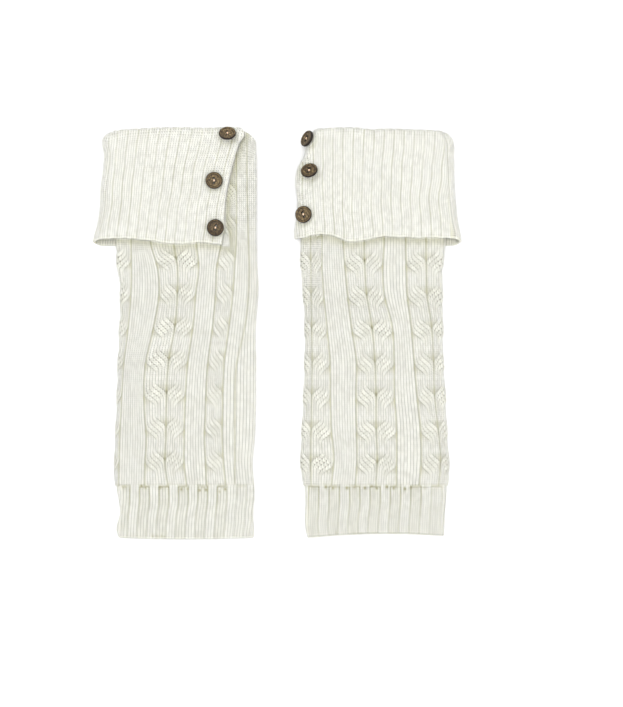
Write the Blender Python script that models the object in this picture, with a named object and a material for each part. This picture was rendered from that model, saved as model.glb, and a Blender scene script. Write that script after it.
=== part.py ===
"""A pair of cable-knit leg warmers with turned-down, buttoned cuffs, laid flat side by side.

Run it with blender --background --python part.py, or from Blender's text editor. Sizes in the
tables are millimetres. "down" runs from the fold at the top of the cuff towards the ankle hem,
and x runs from each warmer's own middle line, to the right as seen from above. The part lies on
Z = 0, with the fold towards +Y.
"""

import math
from collections import namedtuple

import bmesh
import bpy
import numpy as np
from mathutils import Matrix, Vector

MM = 0.001

# Where each warmer lies
TOP_Y = 207.14  # the fold's line, from the middle of the pair
LEFT_X = -90.22  # the left warmer's middle line
RIGHT_X = 95.78

# Cloth
LEG_WALL = 1.8  # of the leg and ankle, in the grooves between the raised bands
CUFF_WALL = 2.0
TUBE_HEIGHT = 5.2  # both layers of the leg with the slack between them
TUBE_CROWN = 0.6  # how much fuller the leg is along its middle
LIFT = 3.2  # the leg lies this high where the cuff's back layer is under it
LIFT_ENDS = (112.0, 150.0)  # down, where the leg comes off the cuff and meets the table
SEAM_GAP = 0.5

# Cable crossings
CABLE_PITCH = 33.6
CABLE_SLANT = 8.0  # how far a crossing drops from the cable's outer side to its middle
CROSSINGS = 8
LEFT_FIRST_CROSSING = 97.4  # down, of the crossing nearest the fold
RIGHT_FIRST_CROSSING = 100.2
PLAIN_RELIEF = 0.9
CABLE_RELIEF = 2.7
PRESSED_RELIEF = 1.4  # the most there is under the cuff, which presses on the leg
HIDDEN_RELIEF = 0.5  # the share of it that is left there
SPRING_BACK = 9.0  # how fast the most grows as the relief comes up below the cuff
SHOWS_FROM = (108.0, 122.0)  # down, where the relief comes up to its full height

# Ankle
ANKLE_DOWN = 360.0
ANKLE_RIBS = 13
KNIT_RIB, PURL_RIB = 1.7, 0.9  # relief of the raised and of the sunken ribs
HEM_ROUND = 1.6
ANKLE_CROWN = 0.2  # how much fuller the ankle is along its middle, at its hem
LEFT_ANKLE_HEM = {"down": 413.4, "bow": -1.4, "middle": 0.0}  # the hem's bow, from a place across it
RIGHT_ANKLE_HEM = {"down": 408.2, "bow": 3.2, "middle": 0.15}

# Cuff
CUFF_SEAM_DOWN = 11.0  # where the cuff is joined to the leg, inside the fold
RIB_RELIEF = 1.0
FREE_RELIEF = 0.3  # at the free edge
CUFF_CROWN = 0.3
LEFT_BACK_END = 63.0  # x, where the cuff's back layer ends behind the slit
RIGHT_BACK_END = -64.0
FRONT_ROLL = {"down": 9.5, "reach": 7.5, "low": 7.5, "high": 14.2}
BACK_ROLL = {"down": 8.0, "reach": 4.5, "low": 1.0, "high": 4.3}
FRONT_HEM_Z = 11.7
FRONT_SETTLE = 40.0  # the length over which the fold's fullness dies away
BACK_HEM_DOWN = 119.0
OUTER_ROWS = (0.16, 0.34, 0.55, 0.78, 0.95, 0.988, 1.0)  # shares of the way from fold to hem

# Buttons
BUTTON_RADIUS = 8.5
BUTTON_THICK = 3.0
BUTTON_RIM = 1.7  # width of the raised rim
BUTTON_DISH = 0.6  # how deep the face is sunk inside the rim
BUTTON_EDGE = 0.6
HOLE_RADIUS = 0.9
HOLE_OFFSET = 1.9  # from the button's middle to each hole
BUTTON_SIDES, HOLE_SIDES = 20, 6

PLAIN, OUT_LEFT, OUT_RIGHT = "plain", "cable, outer side left", "cable, outer side right"

LeftLevel = namedtuple(
    "LeftLevel",
    "down left edge cable_left cable_mid cable_right side_left side_right seam right",
)
LEFT_LEVELS = (
    LeftLevel(11, -72.0, -60, -33, -11.5, 10.0, 34.0, 49.0, 60.0, 69.0),
    LeftLevel(60, -71.0, -58, -35, -13.0, 9.0, 34.3, 49.5, 60.0, 69.6),
    LeftLevel(118, -69.6, -56, -36.4, -13.2, 9.3, 34.3, 49.0, 61.5, 69.5),
    LeftLevel(142, -68.3, -56, -29.7, -9.9, 11.5, 29.4, 47.4, 62.0, 70.3),
    LeftLevel(164, -65.5, -56.5, -28.1, -9.9, 8.8, 28.6, 46.0, 61.5, 71.4),
    LeftLevel(197, -66.0, -59, -33.0, -12.1, 6.0, 25.8, 42.2, 58.3, 68.8),
    LeftLevel(241, -67.7, -64, -42.4, -19.3, 0.0, 20.3, 36.5, 49.0, 69.0),
    LeftLevel(285, -69.0, -66.5, -43.1, -21.2, -2.5, 18.2, 35.3, 47.7, 68.9),
    LeftLevel(314, -70.4, -68, -41.2, -21.5, -3.1, 17.2, 35.0, 47.6, 67.8),
    LeftLevel(338, -71.0, -68.5, -42.5, -22.3, -3.2, 18.4, 36.4, 47.6, 65.6),
    LeftLevel(360, -71.7, -69, -43.0, -19.3, -0.7, 19.2, 38.4, 47.6, 67.2),
)
LEFT_BANDS = (OUT_RIGHT, PLAIN, OUT_LEFT, OUT_RIGHT, PLAIN, OUT_LEFT, PLAIN, PLAIN)

RightLevel = namedtuple(
    "RightLevel",
    "down left edge_mid edge_right cable_left cable_mid cable_right side_left side_mid right",
)
RIGHT_LEVELS = (
    RightLevel(11, -58.5, -54.0, -46.0, -28.0, -9.0, 11.0, 33.0, 53.0, 70.0),
    RightLevel(30, -66.0, -60.0, -50.0, -29.5, -9.0, 11.0, 33.0, 53.0, 70.0),
    RightLevel(60, -68.5, -61.5, -51.0, -30.0, -9.0, 11.0, 33.0, 53.0, 70.5),
    RightLevel(118, -70.7, -62.4, -51.0, -29.7, -8.8, 11.0, 32.8, 53.0, 70.7),
    RightLevel(142, -70.2, -62.0, -51.0, -27.8, -8.0, 9.8, 33.6, 53.6, 68.4),
    RightLevel(166, -68.0, -62.0, -49.5, -25.7, -6.5, 11.0, 34.4, 54.0, 68.4),
    RightLevel(201, -66.4, -61.5, -46.0, -21.4, -1.0, 19.6, 38.5, 59.0, 68.5),
    RightLevel(235, -66.4, -61.0, -43.0, -16.5, 2.0, 21.4, 41.4, 61.0, 69.0),
    RightLevel(269, -67.5, -61.5, -42.6, -17.0, 3.2, 21.6, 44.3, 61.8, 71.0),
    RightLevel(302, -69.0, -62.0, -41.7, -16.5, 3.2, 23.7, 47.7, 65.4, 72.4),
    RightLevel(334, -70.5, -62.5, -39.0, -16.0, 4.4, 23.8, 48.5, 68.0, 74.4),
    RightLevel(360, -68.6, -62.0, -41.7, -17.6, 3.0, 23.6, 46.6, 66.0, 74.7),
)
RIGHT_BANDS = (OUT_LEFT, OUT_RIGHT, PLAIN, OUT_LEFT, OUT_RIGHT, PLAIN, OUT_LEFT, OUT_RIGHT)

AnkleLevel = namedtuple("AnkleLevel", "down left right rib_start rib_pitch")
LEFT_ANKLE = (
    AnkleLevel(360, -71.7, 67.2, -57.7, 9.78),
    AnkleLevel(374, -69.0, 66.8, -57.7, 9.75),
    AnkleLevel(388, -67.6, 65.8, -59.0, 9.72),
    AnkleLevel(404, -71.2, 66.8, -60.3, 9.72),
    AnkleLevel(414, -68.2, 65.9, -60.5, 9.72),
)
RIGHT_ANKLE = (
    AnkleLevel(360, -68.6, 74.7, -54.0, 10.25),
    AnkleLevel(374, -67.6, 73.0, -54.3, 10.27),
    AnkleLevel(388, -68.0, 72.2, -54.8, 10.2),
    AnkleLevel(402, -67.6, 71.8, -55.5, 10.15),
    AnkleLevel(412, -65.4, 70.8, -55.0, 10.15),
)

# curl is how far the free edge curls down over the side of the leg
CuffLevel = namedtuple("CuffLevel", "down fold free rib_start rib_pitch curl")
LEFT_CUFF = (
    CuffLevel(2, -84.0, 58.0, -79.5, 10.62, 0),
    CuffLevel(9, -85.3, 57.0, -79.9, 10.54, 0),
    CuffLevel(15, -85.0, 53.2, -80.4, 10.44, 0),
    CuffLevel(21, -83.6, 51.0, -81.0, 10.35, 0),
    CuffLevel(36, -84.2, 46.5, -82.2, 10.1, 0),
    CuffLevel(58, -87.0, 41.0, -83.4, 9.8, 0),
    CuffLevel(81, -88.2, 38.0, -85.0, 9.55, 0),
    CuffLevel(99, -91.2, 38.5, -87.5, 9.6, 0),
    CuffLevel(110, -94.0, 41.0, -89.0, 9.6, 0),
    CuffLevel(120, -92.6, 41.8, -89.4, 9.6, 0),
)
RIGHT_CUFF = (
    CuffLevel(2, 78.0, -60.0, 82.3, -10.15, 3.0),
    CuffLevel(12, 81.2, -66.0, 81.6, -10.1, 3.0),
    CuffLevel(25, 81.2, -70.6, 80.0, -10.0, 3.5),
    CuffLevel(36, 81.6, -76.0, 78.6, -9.9, 4.2),
    CuffLevel(48, 81.8, -78.0, 78.2, -9.88, 4.6),
    CuffLevel(72, 83.3, -76.0, 75.6, -9.67, 4.6),
    CuffLevel(96, 86.0, -77.8, 77.0, -9.7, 4.6),
    CuffLevel(108, 88.4, -79.4, 77.6, -9.7, 4.6),
    CuffLevel(120, 86.6, -77.0, 77.4, -9.7, 4.6),
)
CUFF_RIBS = {"left": 13, "right": 16}

EdgePoint = namedtuple("EdgePoint", "x down")
# How much lower the fold lies than its highest place, along its length
LEFT_FOLD = (
    EdgePoint(-88, 12),
    EdgePoint(-80, 7.5),
    EdgePoint(-68, 3.6),
    EdgePoint(-41, 0.6),
    EdgePoint(-20, -0.6),
    EdgePoint(20, 0.8),
    EdgePoint(54, 1.5),
    EdgePoint(60, 4),
    EdgePoint(66, 9),
    EdgePoint(70, 14),
)
RIGHT_FOLD = (
    EdgePoint(-68, 9),
    EdgePoint(-60, 3),
    EdgePoint(-50, 1.6),
    EdgePoint(-8, 1.2),
    EdgePoint(-2, 3),
    EdgePoint(6, 1.8),
    EdgePoint(40, 2.4),
    EdgePoint(66, 4.6),
    EdgePoint(76, 8),
    EdgePoint(86, 15),
)
# How much lower the seam between cuff and leg lies than CUFF_SEAM_DOWN, inside the fold
LEFT_SEAM = (EdgePoint(-72, 4.0), EdgePoint(70, 1.0))
RIGHT_SEAM = (EdgePoint(-72, 2.0), EdgePoint(72, 4.5))
# The hem of the cuff's front layer
LEFT_HEM = (
    EdgePoint(-93, 113.5),
    EdgePoint(-68, 112),
    EdgePoint(-39, 114),
    EdgePoint(-15, 117.5),
    EdgePoint(20, 116.5),
    EdgePoint(42, 120),
)
RIGHT_HEM = (
    EdgePoint(-80, 113),
    EdgePoint(-43, 108.6),
    EdgePoint(-25, 115),
    EdgePoint(10, 110.5),
    EdgePoint(40, 111.5),
    EdgePoint(70, 111.5),
    EdgePoint(88, 113),
)
CURL_WIDTH = 8.0  # how wide a strip curls down at a free edge
SLANT_FROM = 59.3  # x, past which the left leg's top edge turns back in a slant beside the slit
SLANT_RISE = 2.2  # how far below the fold's line that slanted edge stays

Button = namedtuple("Button", "place x down z lean_right lean_up")
# lean is how far the button's face turns to the right and towards the fold, in degrees
LEFT_BUTTONS = (
    Button("top", 40.9, 8.4, 21.6, 0, 40),
    Button("middle", 27.4, 54.9, 17.3, 0, 4),
    Button("bottom", 28.7, 101.9, 16.2, 4, 3),
)
RIGHT_BUTTONS = (
    Button("top", -66.0, 12.6, 11.9, -54, 20),
    Button("middle", -63.8, 45.3, 20.75, -16, 34),
    Button("bottom", -69.5, 88.6, 15.45, -17, 4),
)


def smooth_step(t):
    """0 to 1 with level ends, for t from 0 to 1."""
    t = np.clip(t, 0.0, 1.0)
    return t * t * (3.0 - 2.0 * t)


def read(rows, column, at, along="down"):
    """A column of a table at any place along it, on a smooth curve through its rows."""
    x = np.array([getattr(row, along) for row in rows], float)
    y = np.array([getattr(row, column) for row in rows], float)
    slope = np.gradient(y, x)
    at = np.clip(np.asarray(at, float), x[0], x[-1])
    i = np.clip(np.searchsorted(x, at, side="right") - 1, 0, len(x) - 2)
    width = x[i + 1] - x[i]
    t = (at - x[i]) / width
    return (
        (2 * t**3 - 3 * t**2 + 1) * y[i]
        + (t**3 - 2 * t**2 + t) * width * slope[i]
        + (3 * t**2 - 2 * t**3) * y[i + 1]
        + (t**3 - t**2) * width * slope[i + 1]
    )


def clear_scene():
    for item in list(bpy.data.objects):
        bpy.data.objects.remove(item, do_unlink=True)


def material(name, colour, roughness, sheen=0.0):
    made = bpy.data.materials.new(name)
    made.use_nodes = True
    shader = made.node_tree.nodes["Principled BSDF"]
    shader.inputs["Base Color"].default_value = (*colour, 1.0)
    shader.inputs["Roughness"].default_value = roughness
    shader.inputs["Metallic"].default_value = 0.0
    shader.inputs["Sheen Weight"].default_value = sheen
    return made


def to_object(name, mesh_data, finish):
    """Turns a bmesh in millimetres into a named object in metres."""
    bmesh.ops.recalc_face_normals(mesh_data, faces=mesh_data.faces)
    bmesh.ops.scale(mesh_data, vec=(MM, MM, MM), verts=mesh_data.verts)
    mesh = bpy.data.meshes.new(name)
    mesh_data.to_mesh(mesh)
    mesh_data.free()
    mesh.materials.append(finish)
    mesh.shade_smooth()
    mesh.set_sharp_from_angle(angle=math.radians(50))
    made = bpy.data.objects.new(name, mesh)
    bpy.context.scene.collection.objects.link(made)
    return made


def surface_normals(middle, ring):
    """Unit normals of a grid of points, rows by columns; a ring's columns run all the way round."""
    if ring:
        across = np.roll(middle, -1, axis=1) - np.roll(middle, 1, axis=1)
    else:
        across = np.gradient(middle, axis=1)
    normal = np.cross(across, np.gradient(middle, axis=0))
    return normal / np.linalg.norm(normal, axis=2, keepdims=True)


def rim(work, outer, inner, kept):
    """Joins an edge of the outer surface to the plainer edge inside it, which has only the kept points."""
    for n, (a, b) in enumerate(zip(kept, kept[1:])):
        for k in range(a, b):
            work.faces.new((inner[n], outer[k], outer[k + 1]))
        work.faces.new((inner[n], outer[b], inner[n + 1]))


def cloth(name, middle, relief, wall, outward, kept_rows, kept_columns, ring, finish):
    """A closed wall of cloth: its relief is raised on the outer face, and the inner one is plain.

    middle holds the points half-way through the plain wall, and outward is -1 where its columns
    run to the right on top. The inner face has only the kept rows and columns, and a ring's
    columns run all the way round.
    """
    normal = outward * surface_normals(middle, ring)
    raised = middle + normal * (wall / 2 + relief)[..., None]
    raised[..., 2] = np.maximum(raised[..., 2], 0.0)
    plain = (middle - normal * wall / 2)[np.ix_(kept_rows, kept_columns)]
    work = bmesh.new()
    outer = [[work.verts.new(point) for point in row] for row in raised]
    inner = [[work.verts.new(point) for point in row] for row in plain]
    for grid in (outer, inner):
        for row, below in zip(grid, grid[1:]):
            for c in range(len(row) - (not ring)):
                d = (c + 1) % len(row)
                work.faces.new((row[c], row[d], below[d], below[c]))
    columns = list(kept_columns)
    for edge in (0, -1):
        across, inside = list(outer[edge]), list(inner[edge])
        if ring:
            rim(work, across + across[:1], inside + inside[:1], [*columns, len(across)])
        else:
            rim(work, across, inside, columns)
            side = [row[edge] for row in outer]
            rim(work, side, [row[edge] for row in inner], list(kept_rows))
    return to_object(name, work, finish)


def between(x, low, high, least=0.35):
    """Keeps rising places between two limits and at least a little apart."""
    steps = np.arange(len(x)) * least
    x = np.maximum.accumulate(np.maximum(x, low) - steps) + steps
    return np.minimum(x, high - steps[::-1])


def tube_ring(front_x, front_down, left, right, low, crown, back_down_at):
    """One ring of a tube that lies flat: its front points, its right side, its back, its left side."""
    radius = (TUBE_HEIGHT - LEG_WALL) / 2
    under, over = low + LEG_WALL / 2, low + TUBE_HEIGHT - LEG_WALL / 2
    x = between(front_x, left + radius, right - radius)
    place = (2 * x - left - right) / (right - left)
    front = np.stack([x, -front_down, over + crown * (1 - place**2)], axis=1)
    back_x = np.linspace(right - radius, left + radius, BACK_COLUMNS)
    back = [(bx, -float(back_down_at(bx)), under) for bx in back_x]
    right_side = [(right, (back[0][1] - front_down[-1]) / 2, (under + over) / 2)]
    left_side = [(left, (back[-1][1] - front_down[0]) / 2, (under + over) / 2)]
    return np.concatenate([front, right_side, back, left_side])


BACK_COLUMNS = 5
STEP_DOWN = 3.0  # a step in the leg's top edge deeper than this is kept in the plain inner face too
PLAIN_STATIONS = (0.0, 0.12, 0.88)
CABLE_STATIONS = (0.0, 0.18, 0.5, 0.82)
# How high the cable stands down one crossing: share of the pitch, and share of the relief
CablePhase = namedtuple("CablePhase", "along height")
CABLE_PHASES = (
    CablePhase(0.0, 0.22),
    CablePhase(0.11, 1.0),
    CablePhase(0.27, 0.86),
    CablePhase(0.52, 0.72),
    CablePhase(0.78, 0.68),
)


COVERED_ROWS = (30.0, 62.0)  # down, of the leg's rows under the cuff
CABLE_END = 0.4  # the share of its height that a cable keeps at the ankle rib


def leg_rows(first_crossing):
    """The rows of the leg's grid: how far down each starts, its slant in the cables, its height there."""
    rows = [(down, 0.0, CABLE_PHASES[-1].height) for down in (CUFF_SEAM_DOWN + SEAM_GAP / 2, *COVERED_ROWS)]
    for crossing in range(CROSSINGS):
        start = first_crossing + crossing * CABLE_PITCH - CABLE_SLANT
        phases = CABLE_PHASES[:-1] if crossing == CROSSINGS - 1 else CABLE_PHASES
        rows += [(start + p.along * CABLE_PITCH, CABLE_SLANT, p.height) for p in phases]
    rows.append((ANKLE_DOWN - SEAM_GAP / 2, 0.0, CABLE_END))
    return rows


def band_height(kind, share):
    """How much of its relief a band has at a share of its width: nothing at its sides."""
    edge = min(share, 1 - share)
    reach = 0.12 if kind == PLAIN else 0.18
    return float(smooth_step(edge / reach)) * (1.0 if edge > 0.3 else 0.88)


def leg(name, levels, bands, first_crossing, top_of, finish):
    """The cable-knit tube from inside the fold to the ankle."""
    columns = levels[0]._fields[1:]
    stations = [
        (band, share)
        for band, kind in enumerate(bands)
        for share in (PLAIN_STATIONS if kind == PLAIN else CABLE_STATIONS)
    ][1:]
    rows = leg_rows(first_crossing)
    middle, relief = [], []
    for number, (start, slant, phase) in enumerate(rows):
        sides = [float(read(levels, column, start)) for column in columns]
        low = LIFT * (1 - float(smooth_step((start - LIFT_ENDS[0]) / np.diff(LIFT_ENDS)[0])))
        x, down, height = [], [], []
        for band, share in stations:
            kind = bands[band]
            inward = share if kind == OUT_LEFT else 1 - share if kind == OUT_RIGHT else 0.0
            lower = start + slant * inward
            edges = [float(read(levels, columns[band + i], lower)) for i in (0, 1)]
            x.append(edges[0] + share * (edges[1] - edges[0]))
            down.append(lower)
            shown = HIDDEN_RELIEF + (1 - HIDDEN_RELIEF) * float(
                smooth_step((lower - SHOWS_FROM[0]) / np.diff(SHOWS_FROM)[0])
            )
            full = PLAIN_RELIEF if kind == PLAIN else CABLE_RELIEF * phase
            most = PRESSED_RELIEF + SPRING_BACK * (shown - HIDDEN_RELIEF)
            height.append(min(full, most) * shown * band_height(kind, share))
        x, down = np.array(x), np.array(down)
        back_down_at = top_of if number == 0 else lambda place, level=start: level
        if number == 0:
            down = np.array([float(top_of(place)) for place in x])
        middle.append(tube_ring(x, down, sides[0], sides[-1], low, TUBE_CROWN, back_down_at))
        relief.append(height + [0.0] * (BACK_COLUMNS + 2))
    middle, relief = np.array(middle), np.array(relief)
    kept_rows = [0, 1, 2, *range(5, len(rows) - 1, 4), len(rows) - 1]
    steps = np.flatnonzero(np.abs(np.diff(middle[0, : len(stations), 1])) > STEP_DOWN)
    kept = {0, *range(4, len(stations) - 2, 5), len(stations) - 1, *steps, *(steps + 1)}
    kept = sorted(kept) + list(range(len(stations), middle.shape[1]))
    return cloth(name, middle, relief, LEG_WALL, -1, kept_rows, kept, True, finish)


# Where each row of the ankle lies, down, and the share of the ribs' height there
ANKLE_ROWS = ((365.0, 1.0), (374.0, 1.0), (388.0, 0.9), (402.0, 0.8))
RIB_STATIONS = (0.0, 0.24, 0.76)  # shares of a rib's width, from its groove
GROOVE_RELIEF = 0.1


def ankle(name, levels, hem, finish):
    """The ribbed band at the ankle, with its knit ribs raised above the purl ones."""
    rows = [(ANKLE_DOWN + SEAM_GAP / 2, 0.5), *ANKLE_ROWS, (None, 0.6), (None, 0.0)]
    middle, relief = [], []
    for number, (down, full) in enumerate(rows):
        level = levels[-1].down if down is None else down
        left, right = (float(read(levels, side, level)) for side in ("left", "right"))
        start, pitch = (float(read(levels, value, level)) for value in ("rib_start", "rib_pitch"))
        x, height = [], []
        for rib in range(-1, ANKLE_RIBS - 1):
            for share in RIB_STATIONS:
                x.append(start + pitch * (rib + share))
                tall = PURL_RIB if rib % 2 else KNIT_RIB
                height.append(full * (tall if share else GROOVE_RELIEF))
        x = np.array(x)
        place = (2 * x - left - right) / (right - left)
        above_hem = HEM_ROUND if number == len(rows) - 2 else 0.0
        bowed = hem["down"] + hem["bow"] * (place - hem["middle"]) ** 2
        downs = np.full(len(x), down) if down else bowed - above_hem
        crown = TUBE_CROWN if full else ANKLE_CROWN
        mean = float(downs.mean())
        middle.append(tube_ring(x, downs, left, right, 0.0, crown, lambda place, level=mean: level))
        relief.append(height + [0.0] * (BACK_COLUMNS + 2))
    middle, relief = np.array(middle), np.array(relief)
    count = ANKLE_RIBS * len(RIB_STATIONS)
    kept = [0, *range(6, count - 3, 6), count - 1, *range(count, middle.shape[1])]
    return cloth(name, middle, relief, LEG_WALL, -1, range(len(rows)), kept, True, finish)


def roll_point(roll, angle, outer_is_high):
    """Down and height of a fold's mid-line; the angle runs from -90 inside to 90 outside."""
    centre, half = (roll["high"] + roll["low"]) / 2, (roll["high"] - roll["low"]) / 2
    turn = math.radians(angle)
    height = centre + half * math.sin(turn) * (1 if outer_is_high else -1)
    return roll["down"] - roll["reach"] * math.cos(turn), height


FOLD_STATIONS = 7
BACK_STATIONS = (0.0, 0.3, 0.65, 1.0)
ROLL_ANGLES = (-90, -45, 0, 45, 90)


def cuff(name, levels, leg_levels, ribs, fold_line, seam_line, hem_line, back_end, finish):
    """The ribbed cuff: joined to the leg inside, rolled over the fold and turned down to its hem.

    Its columns run from the free edge at the front, across the front, round the folded side
    and along the back to back_end.
    """
    side = 1 if levels[0].fold > 0 else -1  # the folded side
    half = CUFF_WALL / 2
    outer = [(share, None) for share in OUTER_ROWS]
    rows = [(None, None), *((None, angle) for angle in ROLL_ANGLES), *outer]
    middle, relief = [], []
    for number, (share, angle) in enumerate(rows):
        if share is not None:
            turned = 1.0
            front_down = FRONT_ROLL["down"] + share * (hem_line[0].down - FRONT_ROLL["down"])
            back_down = BACK_ROLL["down"] + share * (BACK_HEM_DOWN - BACK_ROLL["down"])
            fullness = math.exp(-((front_down - FRONT_ROLL["down"]) / FRONT_SETTLE) ** 2)
            front_z = FRONT_HEM_Z + (FRONT_ROLL["high"] - FRONT_HEM_Z) * fullness
            back_z = half
        elif angle is None:
            turned = 0.0
            front_down = back_down = CUFF_SEAM_DOWN - SEAM_GAP / 2
            front_z, back_z = FRONT_ROLL["low"], BACK_ROLL["high"]
        else:
            turned = (1 + math.sin(math.radians(angle))) / 2
            front_down, front_z = roll_point(FRONT_ROLL, angle, True)
            back_down, back_z = roll_point(BACK_ROLL, angle, False)
        level = max(front_down, levels[0].down)
        fold, free, start, pitch, edge_curl = (
            float(read(levels, value, level)) for value in levels[0]._fields[1:]
        )
        inner_fold = float(read(leg_levels, "right" if side > 0 else "left", CUFF_SEAM_DOWN))
        fold_x = (inner_fold - side * LEG_WALL / 2) * (1 - turned) + (fold - side * half) * turned
        free_x = free + side * half
        radius = (front_z - back_z) / 2
        end_x = fold_x - side * radius
        x, height = [], []
        for rib in range(ribs):
            for place in RIB_STATIONS:
                x.append(start + pitch * (rib + place))
                height.append(RIB_RELIEF if place else GROOVE_RELIEF)
        x.append(free)
        height.append(FREE_RELIEF)
        x = -side * between(-side * np.array(x), -side * end_x, -side * free_x)
        across = (x - end_x) / (free_x - end_x)
        curl = edge_curl * turned * smooth_step(1 - np.abs(x - free_x) / CURL_WIDTH)
        z = front_z - curl + CUFF_CROWN * turned * (1 - (2 * across - 1) ** 2)
        dip = turned * read(fold_line, "down", x, along="x")
        dip += (1 - turned) * read(seam_line, "down", x, along="x")
        hem = read(hem_line, "down", x, along="x")
        down = front_down + dip
        if share is not None:
            down = (FRONT_ROLL["down"] + dip) * (1 - share) + hem * share
        front = np.stack([x, -down, z], axis=1)[::-1]
        back_x = end_x + (back_end - end_x) * np.array(BACK_STATIONS)
        back_dip = read(seam_line, "down", back_x, along="x") * (1 - (share or 0.0))
        back = [(bx, -(back_down + dip_here), back_z) for bx, dip_here in zip(back_x, back_dip)]
        turn = np.linspace(90, -90, FOLD_STATIONS)[1:-1]
        round_side = [
            (
                end_x + side * radius * math.cos(math.radians(a)),
                -down[0] + (back[0][1] + down[0]) * (90 - a) / 180,
                (front_z + back_z) / 2 + radius * math.sin(math.radians(a)),
            )
            for a in turn
        ]
        middle.append(np.concatenate([front, round_side, back]))
        shown = [0.0] * (len(turn) + len(back))
        last = share == 1.0 or number == 0
        relief.append((np.array(height[::-1] + shown) * (0.0 if last else 1.0)))
    middle, relief = np.array(middle), np.array(relief)
    count = ribs * len(RIB_STATIONS) + 1
    kept = [0, 1, 2, 3, *range(7, count - 3, 6), count - 1, *range(count, middle.shape[1])]
    return cloth(name, middle, relief, CUFF_WALL, -side, range(len(rows)), kept, False, finish)


def round_points(radius, sides, centre=(0.0, 0.0)):
    turns = [2 * math.pi * i / sides for i in range(sides)]
    return [(centre[0] + radius * math.cos(a), centre[1] + radius * math.sin(a)) for a in turns]


def button(name, spec, centre_x, finish):
    """A dished round button with a raised rim and two sewing holes right through it."""
    work = bmesh.new()
    top, bottom = BUTTON_THICK / 2, -BUTTON_THICK / 2
    profile = (
        (BUTTON_RADIUS - BUTTON_EDGE, bottom),
        (BUTTON_RADIUS, top - BUTTON_EDGE),
        (BUTTON_RADIUS - BUTTON_EDGE, top),
        (BUTTON_RADIUS - BUTTON_RIM, top - 0.1),
        (BUTTON_RADIUS - BUTTON_RIM - 0.8, top - BUTTON_DISH),
    )
    rings = [
        [work.verts.new((x, y, z)) for x, y in round_points(radius, BUTTON_SIDES)] for radius, z in profile
    ]
    for low, high in zip(rings, rings[1:]):
        for i in range(BUTTON_SIDES):
            j = (i + 1) % BUTTON_SIDES
            work.faces.new((low[i], low[j], high[j], high[i]))
    holes = []
    for offset in (-HOLE_OFFSET, HOLE_OFFSET):
        circle = round_points(HOLE_RADIUS, HOLE_SIDES, (0.0, offset))
        under = [work.verts.new((x, y, bottom)) for x, y in circle]
        over = [work.verts.new((x, y, top - BUTTON_DISH)) for x, y in circle]
        for i in range(HOLE_SIDES):
            j = (i + 1) % HOLE_SIDES
            work.faces.new((under[i], over[i], over[j], under[j]))
        holes.append((under, over))
    for face_ring, level in ((rings[0], 0), (rings[-1], 1)):
        loops = [face_ring] + [hole[level] for hole in holes]
        edges = [work.edges.get(pair) for loop in loops for pair in zip(loop, loop[1:] + loop[:1])]
        bmesh.ops.triangle_fill(work, use_beauty=True, edges=edges)
    made = to_object(name, work, finish)
    right, up = math.radians(spec.lean_right), math.radians(spec.lean_up)
    face = Vector((math.sin(right) * math.cos(up), math.sin(up), math.cos(right) * math.cos(up)))
    turn = Vector((0, 0, 1)).rotation_difference(face).to_matrix().to_4x4()
    place = Vector((centre_x + spec.x, TOP_Y - spec.down, spec.z)) * MM
    made.matrix_world = Matrix.Translation(place) @ turn
    return made


def left_leg_top(x):
    """The left leg's top edge: level with the cuff's seam, and slanted beside the cuff's free edge."""
    if x > SLANT_FROM:
        return SLANT_RISE + read(LEFT_FOLD, "down", x, along="x")
    return CUFF_SEAM_DOWN + SEAM_GAP / 2 + read(LEFT_SEAM, "down", x, along="x")


def right_leg_top(x):
    return CUFF_SEAM_DOWN + SEAM_GAP / 2 + read(RIGHT_SEAM, "down", x, along="x")


def place_warmer(name, objects, centre_x):
    """Stands a warmer's pieces in the pair, under an empty on its own middle line."""
    holder = bpy.data.objects.new(name, None)
    holder.location = (centre_x * MM, TOP_Y * MM, 0)
    bpy.context.scene.collection.objects.link(holder)
    for item in objects:
        item.parent = holder


def main():
    clear_scene()
    ivory = material("ivory_knit", (0.86, 0.85, 0.78), 0.9, sheen=0.3)
    wood = material("coconut_shell", (0.2, 0.13, 0.08), 0.5)

    pieces = [
        leg("left_leg", LEFT_LEVELS, LEFT_BANDS, LEFT_FIRST_CROSSING, left_leg_top, ivory),
        ankle("left_ankle_rib", LEFT_ANKLE, LEFT_ANKLE_HEM, ivory),
        cuff(
            "left_cuff",
            LEFT_CUFF,
            LEFT_LEVELS,
            CUFF_RIBS["left"],
            LEFT_FOLD,
            LEFT_SEAM,
            LEFT_HEM,
            LEFT_BACK_END,
            ivory,
        ),
    ]
    place_warmer("left_warmer", pieces, LEFT_X)
    pieces = [
        leg("right_leg", RIGHT_LEVELS, RIGHT_BANDS, RIGHT_FIRST_CROSSING, right_leg_top, ivory),
        ankle("right_ankle_rib", RIGHT_ANKLE, RIGHT_ANKLE_HEM, ivory),
        cuff(
            "right_cuff",
            RIGHT_CUFF,
            RIGHT_LEVELS,
            CUFF_RIBS["right"],
            RIGHT_FOLD,
            RIGHT_SEAM,
            RIGHT_HEM,
            RIGHT_BACK_END,
            ivory,
        ),
    ]
    place_warmer("right_warmer", pieces, RIGHT_X)
    for side, buttons, centre_x in (("left", LEFT_BUTTONS, LEFT_X), ("right", RIGHT_BUTTONS, RIGHT_X)):
        for spec in buttons:
            button(f"{side}_button_{spec.place}", spec, centre_x, wood)


main()
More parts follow.
